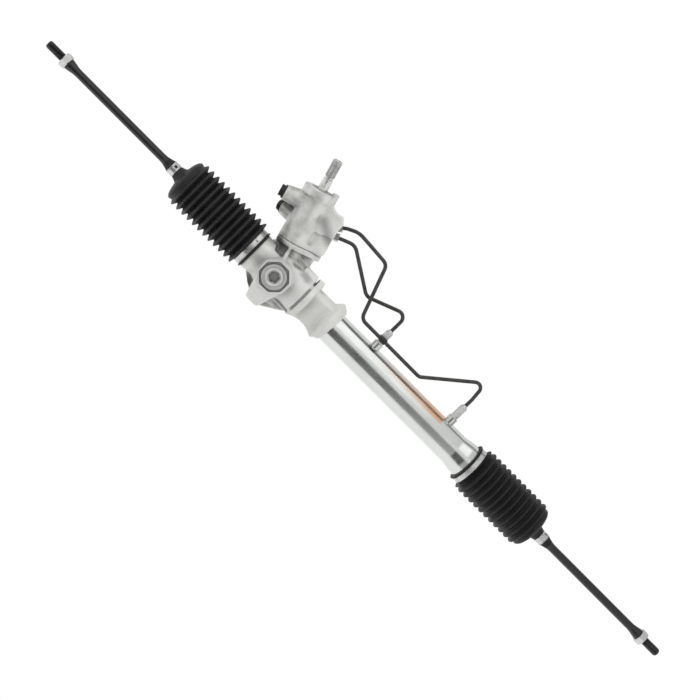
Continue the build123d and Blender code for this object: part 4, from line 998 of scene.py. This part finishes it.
def white_floor_material():
    """Pale floor that is lifted to white where it is seen, and still takes the object's shadow."""
    material = bpy.data.materials.new("floor_white")
    material.use_nodes = True
    tree = material.node_tree
    shader = tree.nodes["Principled BSDF"]
    shader.inputs["Base Color"].default_value = (floor_white, floor_white, floor_white, 1)
    shader.inputs["Roughness"].default_value = 0.9
    shader.inputs["Specular IOR Level"].default_value = 0.1
    shader.inputs["Emission Color"].default_value = (1, 1, 1, 1)
    lift = tree.nodes.new("ShaderNodeMath")
    lift.operation = "MULTIPLY"
    tree.links.new(seen_rays(tree), lift.inputs[0])
    lift.inputs[1].default_value = floor_lift
    tree.links.new(lift.outputs["Value"], shader.inputs["Emission Strength"])
    return material


def card_material(name, levels):
    """Card that shines by itself, at a level that changes along X: each pair is (X, level)."""
    material = bpy.data.materials.new(name)
    material.use_nodes = True
    tree = material.node_tree
    shader = tree.nodes["Principled BSDF"]
    shader.inputs["Base Color"].default_value = (0, 0, 0, 1)
    shader.inputs["Roughness"].default_value = 1.0
    shader.inputs["Specular IOR Level"].default_value = 0.0
    shader.inputs["Emission Strength"].default_value = 1.0
    place = tree.nodes.new("ShaderNodeTexCoord")
    split = tree.nodes.new("ShaderNodeSeparateXYZ")
    tree.links.new(place.outputs["Object"], split.inputs["Vector"])
    start, end = levels[0][0], levels[-1][0]
    share = tree.nodes.new("ShaderNodeMapRange")
    share.inputs["From Min"].default_value = start
    share.inputs["From Max"].default_value = end
    tree.links.new(split.outputs["X"], share.inputs["Value"])
    ramp = tree.nodes.new("ShaderNodeValToRGB")
    tree.links.new(share.outputs["Result"], ramp.inputs["Fac"])
    stops = ramp.color_ramp.elements
    for number, (x, level) in enumerate(levels):
        position = (x - start) / (end - start)
        stop = stops[number] if number < 2 else stops.new(position)
        stop.position = position
        stop.color = (level, level, level, 1)
    tree.links.new(ramp.outputs["Color"], shader.inputs["Emission Color"])
    return material


def facing(spot, target):
    """Matrix at a spot whose -Z looks at a target."""
    aim = (Vector(target) - Vector(spot)).to_track_quat("-Z", "Y")
    return Matrix.Translation(spot) @ aim.to_matrix().to_4x4()


def set_world():
    """White where it is seen, and a plain soft level where it lights the object."""
    world = bpy.data.worlds.new("studio")
    bpy.context.scene.world = world
    world.use_nodes = True
    tree = world.node_tree
    light = tree.nodes["Background"]
    light.inputs["Color"].default_value = (1, 1, 1, 1)
    light.inputs["Strength"].default_value = world_level
    white = tree.nodes.new("ShaderNodeBackground")
    white.inputs["Color"].default_value = (1, 1, 1, 1)
    mix = tree.nodes.new("ShaderNodeMixShader")
    tree.links.new(seen_rays(tree), mix.inputs["Fac"])
    tree.links.new(light.outputs["Background"], mix.inputs[1])
    tree.links.new(white.outputs["Background"], mix.inputs[2])
    tree.links.new(mix.outputs["Shader"], tree.nodes["World Output"].inputs["Surface"])


def set_studio():
    """White world, pale floor, three dim cards around the gear and the bright key card above it."""
    set_world()
    stage_sheet("floor", *floor_size, Matrix.Translation(floor_middle), white_floor_material())
    for name, middle, turn, size, levels in cards:
        place = Matrix.Translation(middle) @ Matrix.Rotation(radians(turn), 4, "X")
        card = stage_sheet(name, *size, place, card_material(name, levels))
        card.visible_camera = False
    key_material = card_material("key_card", key_levels)
    key = stage_sheet("key_card", *key_size, facing(key_spot, key_target), key_material)
    key.visible_camera = False


set_camera()
set_studio()
bpy.context.scene.view_settings.view_transform = "Standard"
